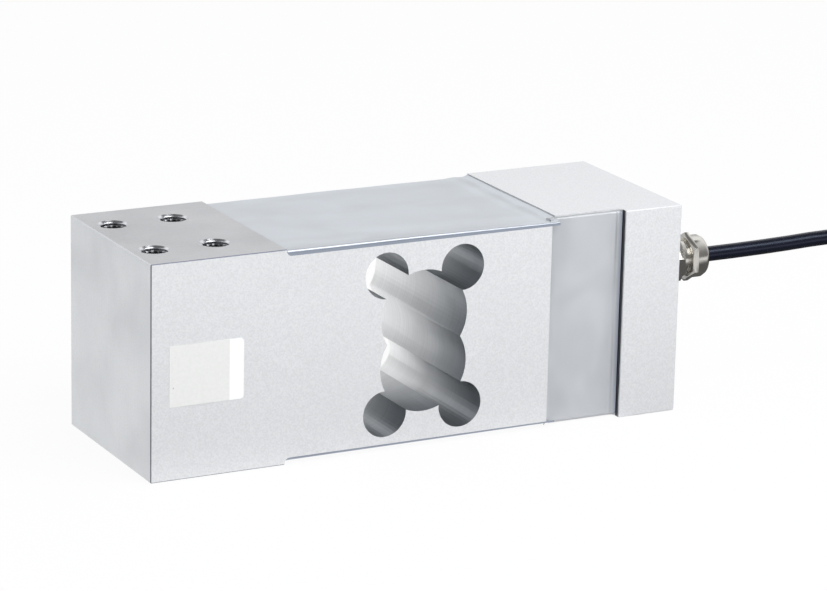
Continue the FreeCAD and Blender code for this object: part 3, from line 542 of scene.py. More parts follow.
@dataclass(frozen=True)
class BoredAluminium:
    """A bore's wall, ringed by the boring tool, in painted shade at the front and a painted
    reflection further in.
    """

    name: str
    # front and back are painted: shade at the bore's front, a bright reflection further in, blended
    # by fade
    front: Colour = (0.215, 0.235, 0.258)
    back: Colour = (0.97, 0.975, 0.98)
    fade: float = 1.0
    half_width_mm: float = 35.0
    roughness: float = 0.35
    metallic: float = 0.88
    ring_scale: tuple[float, float, float] = (0.04, 2.2, 0.04)
    ring_tones: Span = (0.94, 1.05)
    ring_mm: float = 0.004

    def material(self) -> bpy.types.Material:
        """Make the finish's material.

        Returns:
            Fine rings round the axis and clouds, over painted shade at the front and a painted
            reflection further in.
        """
        s = Shader(self.name)
        rings = s.noise(per_mm=1.0, place=s.stretched(*self.ring_scale))
        clouds = s.noise(per_mm=0.09, detail=3.0)
        # painted shade and reflection: the colour runs from the front colour to the back colour
        # along Y
        reach = self.half_width_mm * MM
        depth = s.math("POWER", s.ramp(s.along(1), -reach, reach, 0.0, 1.0), self.fade)
        dark, light = (s.blend(depth, shade(self.front, tone), shade(self.back, tone))
                       for tone in self.ring_tones)
        base = s.mottle(rings, dark, light)
        base = s.blend(s.vary(clouds, 0.0, 0.25, (0.4, 0.75)), base, dark)
        rough = s.vary(clouds, self.roughness - 0.03, self.roughness + 0.06)
        return s.set(Base_Color=base, Metallic=self.metallic, Roughness=rough,
                     Normal=s.bump(rings, self.ring_mm, strength=0.15)).material


@dataclass(frozen=True)
class BareMetal:
    """Plain metal: bright cut edges and thread walls, pins, tinned copper, and threads and edges
    dark with painted shade.
    """

    name: str
    colour: Colour
    roughness: float
    scratches_per_mm: float = 3.0
    scratch_tones: Span = (0.92, 1.0)

    def material(self) -> bpy.types.Material:
        """Make the finish's material.

        Returns:
            One colour with fine scratches.
        """
        s = Shader(self.name)
        scratches = s.noise(per_mm=self.scratches_per_mm)
        base = s.mottle(scratches, *tones(self.colour, self.scratch_tones))
        return s.set(Base_Color=base, Metallic=1.0, Roughness=self.roughness).material


@dataclass(frozen=True)
class PocketWallPaintedShade:
    """The wiring pocket's far wall: bright at its edge, in painted shade further into the corner.
    """

    edge: Colour = (0.70, 0.71, 0.73)
    # compound is the colour of the painted shade deep in the pocket's corner
    compound: Colour = (0.035, 0.037, 0.045)
    roughness: float = 0.45
    starts_mm: float = -34.45
    dark_mm: float = -33.95
    wander_mm: float = 0.2

    def material(self) -> bpy.types.Material:
        """Make the finish's material.

        Returns:
            The edge's colour and the painted shade, meeting along a slightly uneven line.
        """
        s = Shader("pocket_wall")
        wander = s.vary(s.noise(per_mm=0.12, detail=3.0), -self.wander_mm * MM, self.wander_mm * MM)
        depth = s.math("ADD", s.along(1), wander)
        share = s.ramp(depth, self.starts_mm * MM, self.dark_mm * MM, 0.0, 1.0)
        base = s.blend(share, self.edge, self.compound)
        return s.set(Base_Color=base, Roughness=self.roughness).material


@dataclass(frozen=True)
class SealingFoil:
    """The thin silvery foil over the sealing compound: satin, with painted blue shade along its
    borders.
    """

    ends_mm: Span
    lips_mm: Span | None = None
    colour: Colour = (0.645, 0.68, 0.725)
    roughness: float = 0.31
    metallic: float = 0.65
    cloudiness: float = 0.05
    # the darker blue along the foil's borders is painted shade
    painted_shade: Colour = (0.27, 0.31, 0.40)
    press_and_shade_share: float = 0.85
    shade_border_mm: float = 0.45
    lip_mm: float = 0.3
    grain_mm: float = 0.004

    def material(self) -> bpy.types.Material:
        """Make the finish's material.

        Returns:
            Drawn-out clouds with a fine grain, and a painted blue shade along the borders.
        """
        s = Shader("sealing_foil")
        clouds = s.noise(per_mm=0.06, place=s.stretched(0.7, 1.0, 0.45), distortion=0.4)
        grain = s.noise(per_mm=1.2)
        base = s.mottle(clouds, *tones(self.colour, (1 - self.cloudiness, 1 + self.cloudiness)))
        # painted shade: darker blue along the ends and the long lips
        for axis, borders, width in ((0, self.ends_mm, self.shade_border_mm),
                                     (1, self.lips_mm, self.lip_mm)):
            for border, inward in zip(borders or (), (1.0, -1.0)):
                share = s.ramp(s.along(axis), border * MM, (border + inward * width) * MM,
                               self.press_and_shade_share, 0.0)
                base = s.blend(share, base, self.painted_shade)
        rough = s.vary(clouds, self.roughness - 0.03, self.roughness + 0.03)
        return s.set(Base_Color=base, Metallic=self.metallic, Roughness=rough,
                     Normal=s.bump(grain, self.grain_mm, strength=0.2)).material


@dataclass(frozen=True)
class PlatedBrass:
    """Nickel plate over turned brass: warm, bright and smooth."""

    colour: Colour = (0.73, 0.71, 0.665)
    roughness: float = 0.12
    cloud_tones: Span = (0.93, 1.0)
    ring_scale: tuple[float, float, float] = (5.0, 0.05, 0.05)
    ring_mm: float = 0.008

    def material(self) -> bpy.types.Material:
        """Make the finish's material.

        Returns:
            Faint clouds, and the lathe's rings round the X axis.
        """
        s = Shader("plated_brass")
        rings = s.noise(per_mm=1.0, place=s.stretched(*self.ring_scale))
        clouds = s.noise(per_mm=0.2, detail=3.0)
        base = s.mottle(clouds, *tones(self.colour, self.cloud_tones))
        rough = s.vary(clouds, self.roughness, self.roughness + 0.1, (0.3, 0.75))
        return s.set(Base_Color=base, Metallic=1.0, Roughness=rough,
                     Normal=s.bump(rings, self.ring_mm, strength=0.4)).material


@dataclass(frozen=True)
class Moulded:
    """Rubber, plastic or film with a fine skin of its own, in any colour."""

    name: str
    colour: Colour
    roughness: float = 0.5
    grain_per_mm: float = 1.5
    grain_mm: float = 0.02
    cloud_tones: Span = (0.88, 1.12)

    def material(self) -> bpy.types.Material:
        """Make the finish's material.

        Returns:
            Soft clouds of colour under a fine grain.
        """
        s = Shader(self.name)
        grain = s.noise(per_mm=self.grain_per_mm, detail=3.0)
        clouds = s.noise(per_mm=0.12)
        base = s.mottle(clouds, *tones(self.colour, self.cloud_tones))
        rough = s.vary(grain, self.roughness - 0.05, self.roughness + 0.08)
        return s.set(Base_Color=base, Roughness=rough,
                     Normal=s.bump(grain, self.grain_mm, strength=0.4)).material


@dataclass(frozen=True)
class LabelFilm:
    """The bare label: a warm pale field, a white strip at one end and a few specks of dirt."""

    paper: Colour = (0.765, 0.765, 0.748)
    strip: Colour = (0.93, 0.93, 0.925)
    dirt: Colour = (0.22, 0.20, 0.18)
    roughness: float = 0.42
    coat: float = 0.1
    strip_starts_mm: float = -73.3
    dirty_edge_mm: float = -92.6
    dirty_mm: float = 1.5
    fibre_tones: Span = (0.975, 1.02)

    def material(self) -> bpy.types.Material:
        """Make the finish's material.

        Returns:
            The field and the strip, with specks near the field's outer edge.
        """
        s = Shader("label_film")
        across = s.along(0)
        strip = s.math("GREATER_THAN", across, self.strip_starts_mm * MM)
        fibres = s.noise(per_mm=0.8, detail=3.0)
        paper = s.mottle(fibres, *tones(self.paper, self.fibre_tones), spread=(0.35, 0.7))
        specks = s.ramp(s.noise(per_mm=0.55), 0.66, 0.7, 0.0, 0.8)
        edge = s.ramp(across, (self.dirty_edge_mm - self.dirty_mm) * MM,
                      self.dirty_edge_mm * MM, 1.0, 0.0)
        base = s.blend(s.math("MULTIPLY", specks, edge), s.blend(strip, paper, self.strip),
                       self.dirt)
        return s.set(Base_Color=base, Roughness=self.roughness, Coat_Weight=self.coat,
                     Normal=s.bump(fibres, 0.01, strength=0.2)).material


@dataclass(frozen=True)
class CableJacket:
    """Smooth dark polyurethane, near black with a little blue in it."""

    colour: Colour = (0.005, 0.0055, 0.012)
    roughness: float = 0.24
    cloud_tones: Span = (0.8, 1.25)
    gloss_tint: Colour = (0.62, 0.72, 1.0)
    skin_mm: float = 0.006

    def material(self) -> bpy.types.Material:
        """Make the finish's material.

        Returns:
            Faint clouds under a smooth skin with a bluish gloss.
        """
        s = Shader("cable_jacket")
        skin = s.noise(per_mm=0.8, detail=3.0)
        clouds = s.noise(per_mm=0.06)
        base = s.mottle(clouds, *tones(self.colour, self.cloud_tones))
        rough = s.vary(skin, self.roughness - 0.04, self.roughness + 0.06)
        return s.set(Base_Color=base, Roughness=rough, Specular_Tint=self.gloss_tint,
                     Normal=s.bump(skin, self.skin_mm, strength=0.12)).material


THREAD_WALL = BareMetal("thread_wall", (0.90, 0.905, 0.92), 0.24)
PAD_COMPOUND = Moulded("sealing_compound", (0.45, 0.46, 0.47), 0.6)
POCKET_COMPOUND = Moulded("pocket_compound", (0.45, 0.46, 0.47), 0.6)
GLAND_RUBBER = Moulded("black_rubber", (0.016, 0.016, 0.019), 0.55)
CAGE_POLYAMIDE = Moulded("natural_polyamide", (0.72, 0.69, 0.6), 0.4)
TIE_PLASTIC = Moulded("tie_plastic", (0.022, 0.022, 0.024), 0.42)
SLEEVE_RUBBER = Moulded("sleeve_rubber", (0.018, 0.018, 0.021), 0.5)
TINNED_COPPER = BareMetal("tinned_copper", (0.62, 0.6, 0.57), 0.35)

LEAD_FINISHES: dict[str, Finish] = {
    "lead_red": Moulded("lead_red", (0.5, 0.02, 0.02), 0.35),
    "lead_black": Moulded("lead_black", (0.012, 0.012, 0.013), 0.35),
    "lead_green": Moulded("lead_green", (0.02, 0.22, 0.07), 0.35),
    "lead_white": Moulded("lead_white", (0.78, 0.78, 0.76), 0.35),
    "lead_blue": Moulded("lead_blue", (0.02, 0.08, 0.4), 0.35),
    "lead_yellow": Moulded("lead_yellow", (0.75, 0.52, 0.02), 0.35),
    "shield_drain": TINNED_COPPER,
    "tinned_tips": TINNED_COPPER,
}

HIDDEN_FINISHES: dict[str, Finish] = {
    "gauge_foil": Moulded("gauge_foil", (0.55, 0.36, 0.12), 0.35),
    "flex_film": Moulded("flex_film", (0.5, 0.27, 0.05), 0.3),
    "green_board": Moulded("green_board", (0.02, 0.17, 0.07), 0.35),
    "white_plastic": Moulded("white_plastic", (0.74, 0.73, 0.68), 0.42),
    "chip_black": Moulded("chip_black", (0.02, 0.02, 0.024), 0.4),
    "conductor_sheath": Moulded("conductor_sheath", (0.3, 0.3, 0.32), 0.4),
    "white_potting": Moulded("white_potting", (0.72, 0.72, 0.7), 0.55),
    "cable_jacket": CableJacket(),
    "plated_pins": BareMetal("plated_pins", (0.83, 0.68, 0.36), 0.25),
}


# ------------------------------------------------------------------------------- threads
@dataclass(frozen=True)
class Thread:
    """A metric thread's groove as a solid to cut away, repeated on a rectangle of holes.

    A root wider than the crest makes the thread of a hole, and a narrower one that of a neck.
    The cutting triangle's centre lies past the crest by a share of the triangle's radius.
    """

    name: str
    crest_mm: float
    root_mm: float
    pitch_mm: float
    length_mm: float
    rows: int = 1
    row_spacing_mm: float = 0.0
    column_spacing_mm: float = 0.0
    points_a_turn: int = 28
    past_crest: float = 1.0 / 24.0

    def cutters(self, places: Sequence[tuple[Vector, tuple[float, float, float]]],
                material: bpy.types.Material) -> bpy.types.Object:
        """Grow the grooves' solids.

        Args:
            places: Where each set of holes starts, in millimetres, and its turn in radians.
            material: The material that the grooves' walls get.

        Returns:
            An object that holds every groove.
        """
        tree = Growth(self.name)
        radius, pitch, turns = (tree.size(name) for name in ("Radius", "Pitch", "Turns"))
        depth, apex_turn = tree.size("Profile"), tree.size("Apex Turn", "Rotation")
        rows = tree.size("Rows", "Int")
        wide, deep = tree.size("Row Spacing"), tree.size("Column Spacing")
        rise = tree.add("ShaderNodeMath", {0: pitch, 1: turns}, operation="MULTIPLY").outputs[0]
        helix = tree.add("GeometryNodeCurveSpiral", {
            "Resolution": self.points_a_turn, "Rotations": turns, "Start Radius": radius,
            "End Radius": radius, "Height": rise})
        upright = tree.add("GeometryNodeSetCurveNormal", {0: helix.outputs[0]}, mode="Z_UP")
        triangle = tree.add("GeometryNodeCurvePrimitiveCircle", {"Resolution": 3, "Radius": depth})
        turned = tree.add("GeometryNodeTransform", {0: triangle.outputs[0], "Rotation": apex_turn})
        groove = tree.add("GeometryNodeCurveToMesh", {
            "Curve": upright.outputs[0], "Profile Curve": turned.outputs[0], "Fill Caps": True})
        grid = tree.add("GeometryNodeMeshGrid", {
            "Size X": wide, "Size Y": deep, "Vertices X": rows, "Vertices Y": rows})
        each = tree.add("GeometryNodeInstanceOnPoints", {"Points": grid.outputs["Mesh"],
                                                         "Instance": groove.outputs[0]})
        joined = tree.add("GeometryNodeJoinGeometry")
        for place, turn in places:
            moved = tree.add("GeometryNodeTransform", {
                0: each.outputs[0], "Translation": place * MM, "Rotation": turn})
            tree.tree.links.new(moved.outputs[0], joined.inputs[0])
        tree.end(joined.outputs[0], material)
        in_hole = self.root_mm > self.crest_mm
        profile = abs(self.root_mm - self.crest_mm) / (1.0 + self.past_crest)
        axis = self.root_mm - profile if in_hole else self.root_mm + profile
        return tree.grow(self.name, Radius=axis * MM, Pitch=self.pitch_mm * MM,
                         Turns=self.length_mm / self.pitch_mm, Profile=profile * MM,
                         Apex_Turn=(0.0, 0.0, math.pi if in_hole else 0.0), Rows=self.rows,
                         Row_Spacing=self.row_spacing_mm * MM,
                         Column_Spacing=self.column_spacing_mm * MM)


# --------------------------------------------------------------------------- spring body
class FaceFinish(Enum):
    """How a face of the spring body was made, or the painted shade it carries, in the order of its
    materials.
    """

    BLASTED = 0
    MILLED_END = 1
    MILLED_TOP = 2
    BORED = 3
    DRILLED = 4
    CUT = 5
    THREAD = 6
    PAINTED_SHADE_POCKET_WALL = 7
    PAINTED_SHADE_EDGE = 8


SPRING_BODY_FINISHES: dict[FaceFinish, Finish] = {
    FaceFinish.BLASTED: BlastedAluminium(),
    FaceFinish.MILLED_END: MilledAluminium("milled_end", (0.70, 0.715, 0.735), (0.05, 3.2, 0.05)),
    FaceFinish.MILLED_TOP: MilledAluminium("milled_top", (0.68, 0.685, 0.705), (0.05, 2.4, 0.05)),
    FaceFinish.BORED: BoredAluminium("bored_aluminium"),
    # the drilled corner bores carry more painted shade: with fade 1.5 it reaches further in
    FaceFinish.DRILLED: BoredAluminium("drilled_aluminium", (0.275, 0.295, 0.318),
                                       (0.98, 0.985, 0.99), fade=1.5),
    FaceFinish.CUT: BareMetal("cut_edge", (0.74, 0.755, 0.79), 0.2),
    # threads deep in the holes are dark from painted shade
    FaceFinish.THREAD: BareMetal("thread_cut", (0.34, 0.345, 0.36), 0.3),
    FaceFinish.PAINTED_SHADE_POCKET_WALL: PocketWallPaintedShade(),
    # front-facing chamfers at the load end are dark with painted shade
    FaceFinish.PAINTED_SHADE_EDGE: BareMetal("burnished_edge", (0.20, 0.215, 0.27), 0.4),
}


@dataclass
class SpringBody:
    """The one machined block: its faces sorted by how each was made, its holes threaded.

    Its screw holes stand on a rectangle at each end, on top of the load end and under the
    fixed end. The flexure's corner bores lie the same way off the middle of the block on all
    four sides.
    """

    flexure_half_mm: float = 24.0
    flexure_margin_mm: float = 3.0
    middle_height_mm: float = 38.0
    corner_bore_mm: Span = (14.6, 24.7)
    corner_bore_radius_mm: float = 8.25
    load_end_mm: float = -52.6
    hole_along_mm: float = 82.35
    hole_pitch_mm: Span = (22.3, 35.5)
    hole_depth_mm: float = 23.0
    countersink_radius_mm: float = 5.45
    countersink_depth_mm: float = 1.16
    pocket_wall_mm: float = 80.0
    pocket_wall_reach_mm: float = 1.0
    pocket_wall_depth_mm: Span = (-34.9, -20.0)
    sharp_angle: float = 22.0
    close_mm: float = 0.01  # two places nearer than this are one
    across_bore: float = 0.02  # a bore's wall has a normal with less than this along Y
    facing: float = 0.5  # a face looks one way if its normal has more than this that way
    wall_facing: float = 0.9  # the same for the pocket's wall
    flat: float = 0.995  # a normal with more than this along one axis is square to it

    def build(self) -> None:
        """Make the finished block and put it in the construction block's place."""
        low, high = box_mm("spring_body")
        body = object_of("machined_spring_body", merged_copy("spring_body"), tidy=False)
        self.cut_threads(body, high.z)
        body.data.materials.clear()
        shape = bmesh.new()
        shape.from_mesh(body.data)
        for face in shape.faces:
            face.material_index = self.finish_of(face, low, high).value
        shape.to_mesh(body.data)
        shape.free()
        shade_by_angle(body, self.sharp_angle)
        flat = {finish.value for finish in (FaceFinish.BLASTED, FaceFinish.MILLED_END,
                                            FaceFinish.MILLED_TOP, FaceFinish.PAINTED_SHADE_POCKET_WALL)}
        for face in body.data.polygons:
            steep = max(abs(part) for part in face.normal)
            face.use_smooth = face.material_index not in flat or steep < self.flat
        dress(body, [SPRING_BODY_FINISHES[finish].material() for finish in FaceFinish])
        install(body, "machined_aluminium", "spring_body")

    def cut_threads(self, body: bpy.types.Object, top_mm: float) -> None:
        """Cut the threads of the four holes on top of one end and of the four under the other.

        Args:
            body: The block, its holes still plain.
            top_mm: How high the block's top lies.
        """
        thread = Thread("hole_threads", crest_mm=4.25, root_mm=5.0, pitch_mm=1.5, length_mm=21.0,
                        rows=2, row_spacing_mm=self.hole_pitch_mm[0],
                        column_spacing_mm=self.hole_pitch_mm[1])
        deepest = thread.length_mm - thread.pitch_mm / 3
        carve(body, thread.cutters([
            (Vector((-self.hole_along_mm, 0, top_mm - deepest)), (0.0, 0.0, 0.0)),
            (Vector((self.hole_along_mm, 0, deepest)), (math.pi, 0.0, 0.0)),
        ], THREAD_WALL.material()))

    def depth_in_hole(self, middle: Vector, top_mm: float) -> float | None:
        """Find how deep a place lies in a screw hole.

        Args:
            middle: The place, in millimetres.
            top_mm: How high the block's top lies.

        Returns:
            The depth in millimetres, or None outside the holes.
        """
        x_off = abs(abs(abs(middle.x) - self.hole_along_mm) - self.hole_pitch_mm[0] / 2)
        y_off = abs(abs(middle.y) - self.hole_pitch_mm[1] / 2)
        depth = top_mm - middle.z if middle.x < 0 else middle.z
        near = math.hypot(x_off, y_off) < self.countersink_radius_mm
        return depth if near and self.close_mm < depth < self.hole_depth_mm else None

    def on_pocket_wall(self, middle: Vector, normal: Vector) -> bool:
        """Tell whether a face is the wiring pocket's far wall, which carries painted shade.

        Args:
            middle: The face's middle, in millimetres.
            normal: The direction that it faces.

        Returns:
            Whether it is.
        """
        front, back = self.pocket_wall_depth_mm
        near = abs(middle.x - self.pocket_wall_mm) < self.pocket_wall_reach_mm
        return near and normal.x < -self.wall_facing and front < middle.y < back

    def in_corner_bore(self, middle: Vector) -> bool:
        """Tell whether a face of the flexure lies on one of the four corner bores.

        Args:
            middle: The face's middle, in millimetres.

        Returns:
            Whether it does.
        """
        across, rise = self.corner_bore_mm
        offset = math.hypot(abs(middle.x) - across, abs(middle.z - self.middle_height_mm) - rise)
        return offset < self.corner_bore_radius_mm + 2 * self.close_mm

    def in_flexure(self, middle: Vector, normal: Vector, low: Vector, high: Vector) -> bool:
        """Tell whether a face is a wall of the flexure's bores.

        Args:
            middle: The face's middle, in millimetres.
            normal: The direction that it faces.
            low: The block's lowest corner in millimetres.
            high: The block's highest corner in millimetres.

        Returns:
            Whether it is.
        """
        inside = low.z + self.flexure_margin_mm < middle.z < high.z - self.flexure_margin_mm
        return (inside and abs(normal.y) < self.across_bore
                and abs(middle.x) < self.flexure_half_mm)

    def finish_of(self, face: bmesh.types.BMFace, low: Vector, high: Vector) -> FaceFinish:
        """Tell how a face was made, or the painted shade it takes.

        Args:
            face: One face of the merged mesh, in metres.
            low: The block's lowest corner in millimetres.
            high: The block's highest corner in millimetres.

        Returns:
            The face's finish.
        """
        middle = face.calc_center_median() / MM
        normal = face.normal
        if self.in_flexure(middle, normal, low, high):
            return FaceFinish.DRILLED if self.in_corner_bore(middle) else FaceFinish.BORED
        depth = self.depth_in_hole(middle, high.z)
        if depth is not None:
            # deeper than the countersink, the thread takes painted shade
            return FaceFinish.CUT if depth < self.countersink_depth_mm else FaceFinish.THREAD
        at_load_end = middle.x <= self.load_end_mm
        if max(abs(part) for part in normal) < self.flat:
            if not at_load_end:
                return FaceFinish.BLASTED
            # front-facing chamfers at the load end take painted shade
            return FaceFinish.PAINTED_SHADE_EDGE if normal.y < -self.facing else FaceFinish.CUT
        outside = any(abs(middle[axis] - edge[axis]) < self.close_mm
                      for axis in range(3) for edge in (low, high))
        if not outside and abs(normal.z) > self.flat and middle.x < self.load_end_mm:
            return FaceFinish.CUT
        # the pocket's far wall takes painted shade
        if self.on_pocket_wall(middle, normal):
            return FaceFinish.PAINTED_SHADE_POCKET_WALL
        if not at_load_end or abs(normal.y) > self.facing:
            return FaceFinish.BLASTED
        return FaceFinish.MILLED_TOP if abs(normal.z) > self.facing else FaceFinish.MILLED_END


# ------------------------------------------------------------------------- foil surfaces
@dataclass(frozen=True)
class Swell:
    """A soft ridge in a foil: its height, its crest's distance from an edge, and its width."""

    height_mm: float
    crest_mm: float
    width_mm: float

    def at(self, distance: float) -> float:
        """Give the ridge's height at a distance from the edge, in millimetres."""
        return self.height_mm * math.exp(-((distance - self.crest_mm) / self.width_mm) ** 2)


@dataclass(frozen=True)
class Ripple:
    """A shallow wave in a foil, in radians a millimetre along and across it.

    Its crests may sway to and fro, by some radians, as they run along the foil.
    """

    height_mm: float
    along: float = 0.0
    across: float = 0.0
    start: float = 0.0
    sway: float = 0.0
    sway_along: float = 0.0

    def at(self, along: float, across: float) -> float:
        """Give the wave's height at a place, in millimetres."""
        phase = along * self.along + across * self.across + self.start
        return self.height_mm * math.sin(phase + self.sway * math.sin(along * self.sway_along))


def denser_at_ends(share: float) -> float:
    """Move a share from 0 to 1 towards the nearer end, so that rows lie closer there."""
    return share - math.sin(2 * math.pi * share) / 9.0


def quarter_round(distance: float, reach: float) -> float:
    """Give what is left of a quarter round at a distance from its foot, from 1 down to 0."""
    left = 1 - min(distance / reach, 1.0)
    return 1 - math.sqrt(max(0.0, 1 - left ** 2))


def border_of(grid: list[list[bmesh.types.BMVert]]) -> list[bmesh.types.BMVert]:
    """List the vertices round a grid's border, once round."""
    return (grid[0][:-1] + [row[-1] for row in grid[:-1]] + grid[-1][:0:-1]
            + [row[0] for row in grid[:0:-1]])


def sheet_of(face_at: Callable[[float], list[list[Vector]]],
             thickness_mm: float) -> bmesh.types.BMesh:
    """Make a closed sheet from its outer face and the same face further in.

    Args:
        face_at: Gives the rows of points, in millimetres, of a face that lies so far in.
        thickness_mm: How thick the sheet is.

    Returns:
        The sheet, in metres.
    """
    shape = bmesh.new()
    grids = [[[shape.verts.new(point * MM) for point in row] for row in face_at(inset)]
             for inset in (0.0, thickness_mm)]
    for grid in grids:
        for row, following in zip(grid, grid[1:]):
            for corners in zip(row, row[1:], following[1:], following):
                shape.faces.new(corners)
    outer, inner = (border_of(grid) for grid in grids)
    for corners in zip(outer, outer[1:] + outer[:1], inner[1:] + inner[:1], inner):
        shape.faces.new(corners)
    return shape


# ------------------------------------------------------------------------------- sealing
class Outlook(Enum):
    """Which way a recess opens."""

    UP = 1
    DOWN = -1


@dataclass
class RecessSeal:
    """Sealing over a gauge recess: soft compound under a foil with rolled long edges.

    The rolled rim's height is given at the foil's near end, middle and far end.
    """

    outlook: Outlook
    crown_mm: float = 1.28
    rim_mm: tuple[float, float, float] = (2.05, 1.85, 1.2)
    foil_mm: float = 0.18
    end_gap_mm: float = 0.14
    side_gap_mm: float = 0.02
    lift_mm: float = 0.01
    ripples: tuple[Ripple, ...] = (Ripple(0.07, 0.09, 0.05),
                                   Ripple(0.045, 0.21, -0.13, start=1.0),
                                   Ripple(0.04, across=0.31, sway=2.0, sway_along=0.05))
    front_roll: Swell = Swell(1.0, 0.0, 3.6)
    back_rise: Swell = Swell(0.12, 0.0, 2.0)
    far_climb: Swell = Swell(0.75, 0.0, 1.1)
    far_band: Swell = Swell(0.28, 6.0, 2.0)
    near_climb: Swell = Swell(0.3, 0.0, 1.2)
    climb_lost: float = 0.75
    roll_share: float = 0.55
    lip_shares: tuple[float, ...] = (0.0, 0.35, 0.7)
    stations: int = 120
    strips: int = 64
    roll_steps: int = 6
    low: Vector = field(init=False)
    high: Vector = field(init=False)

    def build(self) -> None:
        """Make the compound and the foil and put them in the pad's place."""
        name = "top" if self.outlook is Outlook.UP else "bottom"
        self.low, self.high = box_mm(name + "_sealing_pad")
        foil = object_of(name + "_sealing_foil", sheet_of(self.face, self.foil_mm))
        shade_by_angle(foil, ROLLED_ANGLE)
        # the foil's ends and long lips carry painted blue shade
        finish = SealingFoil((self.low.x, self.high.x), (self.low.y, self.high.y))
        dress(foil, [finish.material()])
        install(foil, "foil_sealing", name + "_sealing_pad")
        compound = object_of(name + "_sealing_compound", self.compound_shape(name))
        shade_by_angle(compound)
        dress(compound, [PAD_COMPOUND.material()])
        install(compound, "foil_sealing")

    def compound_shape(self, name: str) -> bmesh.types.BMesh:
        """Cut the pad's solid back to the compound that lies under the foil.

        Args:
            name: Which pad it is, top or bottom.

        Returns:
            The compound, in metres.
        """
        shape = merged_copy(name + "_sealing_pad")
        sign = self.outlook.value
        lid = self.floor() + sign * (self.crown_mm - 3.0 * self.foil_mm)
        cut_off(shape, Vector((0, 0, lid)), Vector((0, 0, sign)))
        for y in (self.low.y + 2 * self.foil_mm, self.high.y - 2 * self.foil_mm):
            cut_off(shape, Vector((0, y, 0)), Vector((0, math.copysign(1, y), 0)))
        return shape

    def floor(self) -> float:
        """Give the height of the recess's floor in millimetres."""
        return self.low.z if self.outlook is Outlook.UP else self.high.z

    def rim(self, along: float) -> float:
        """Give how high the rolled rim stands over the floor.

        Args:
            along: The share of the foil's length, from 0 to 1.

        Returns:
            The height in millimetres.
        """
        first, middle, last = self.rim_mm
        if along < 0.5:
            return first + (middle - first) * along * 2
        return middle + (last - middle) * (along * 2 - 1)

    def crown(self, x: float, y: float, along: float) -> float:
        """Give the foil's height over the floor, its ripples and climbs included.

        Args:
            x: The place along the block, in millimetres.
            y: The place across the block, in millimetres.
            along: The share of the foil's length, from 0 to 1.

        Returns:
            The height in millimetres.
        """
        rolled = self.front_roll.at(y - self.low.y)
        ripple = sum(wave.at(x, y) for wave in self.ripples)
        climb = (self.far_climb.at(self.high.x - x) + self.far_band.at(self.high.x - x)
                 + self.near_climb.at(x - self.low.x))
        rise = (self.rim(along) - self.crown_mm) * rolled + self.back_rise.at(self.high.y - y)
        return (self.crown_mm + ripple * (1 - rolled) + rise
                + climb * (1 - self.climb_lost * rolled))

    def lip(self, x: float, edge: float, inward: float, along: float,
            inset: float) -> list[Vector]:
        """Give the outline of one long edge, up from the floor and round the roll.

        Args:
            x: The station's place along the block, in millimetres.
            edge: Where the edge stands across the block, in millimetres.
            inward: The way to the foil's middle, 1 or -1.
            along: The share of the foil's length, from 0 to 1.
            inset: How far inside the foil's outer face the outline runs, in millimetres.

        Returns:
            The points in millimetres, their heights taken from the floor.
        """
        height = self.crown(x, edge, along) - inset
        radius = self.roll_share * height
        points = [Vector((x, edge, share * (height - radius))) for share in self.lip_shares]
        for step in range(self.roll_steps + 1):
            angle = math.pi / 2 * step / self.roll_steps
            points.append(Vector((x, edge + inward * radius * (1 - math.cos(angle)),
                                  height - radius + radius * math.sin(angle))))
        return points

    def section(self, station: int, inset: float) -> list[Vector]:
        """Give the foil's outline across the recess at one station.

        Args:
            station: Which station along the recess, from 0.
            inset: How far inside the foil's outer face the outline runs, in millimetres.

        Returns:
            The outline's points in millimetres, from the front's foot to the back's.
        """
        along = station / self.stations
        length = self.high.x - self.low.x - 2 * self.end_gap_mm
        x = self.low.x + self.end_gap_mm + length * along
        front = self.lip(x, self.low.y + self.side_gap_mm + inset, 1.0, along, inset)
        back = self.lip(x, self.high.y - self.side_gap_mm - inset, -1.0, along, inset)
        start, end = front[-1].y, back[-1].y
        shares = (denser_at_ends(strip / self.strips) for strip in range(1, self.strips))
        across = [start + (end - start) * share for share in shares]
        middle = [Vector((x, y, self.crown(x, y, along) - inset)) for y in across]
        sign = self.outlook.value
        return [Vector((point.x, point.y, self.floor() + sign * (point.z + self.lift_mm)))
                for point in front + middle + back[::-1]]

    def face(self, inset: float) -> list[list[Vector]]:
        """Give all of the foil's outlines at one depth, in millimetres."""
        return [self.section(station, inset) for station in range(self.stations + 1)]


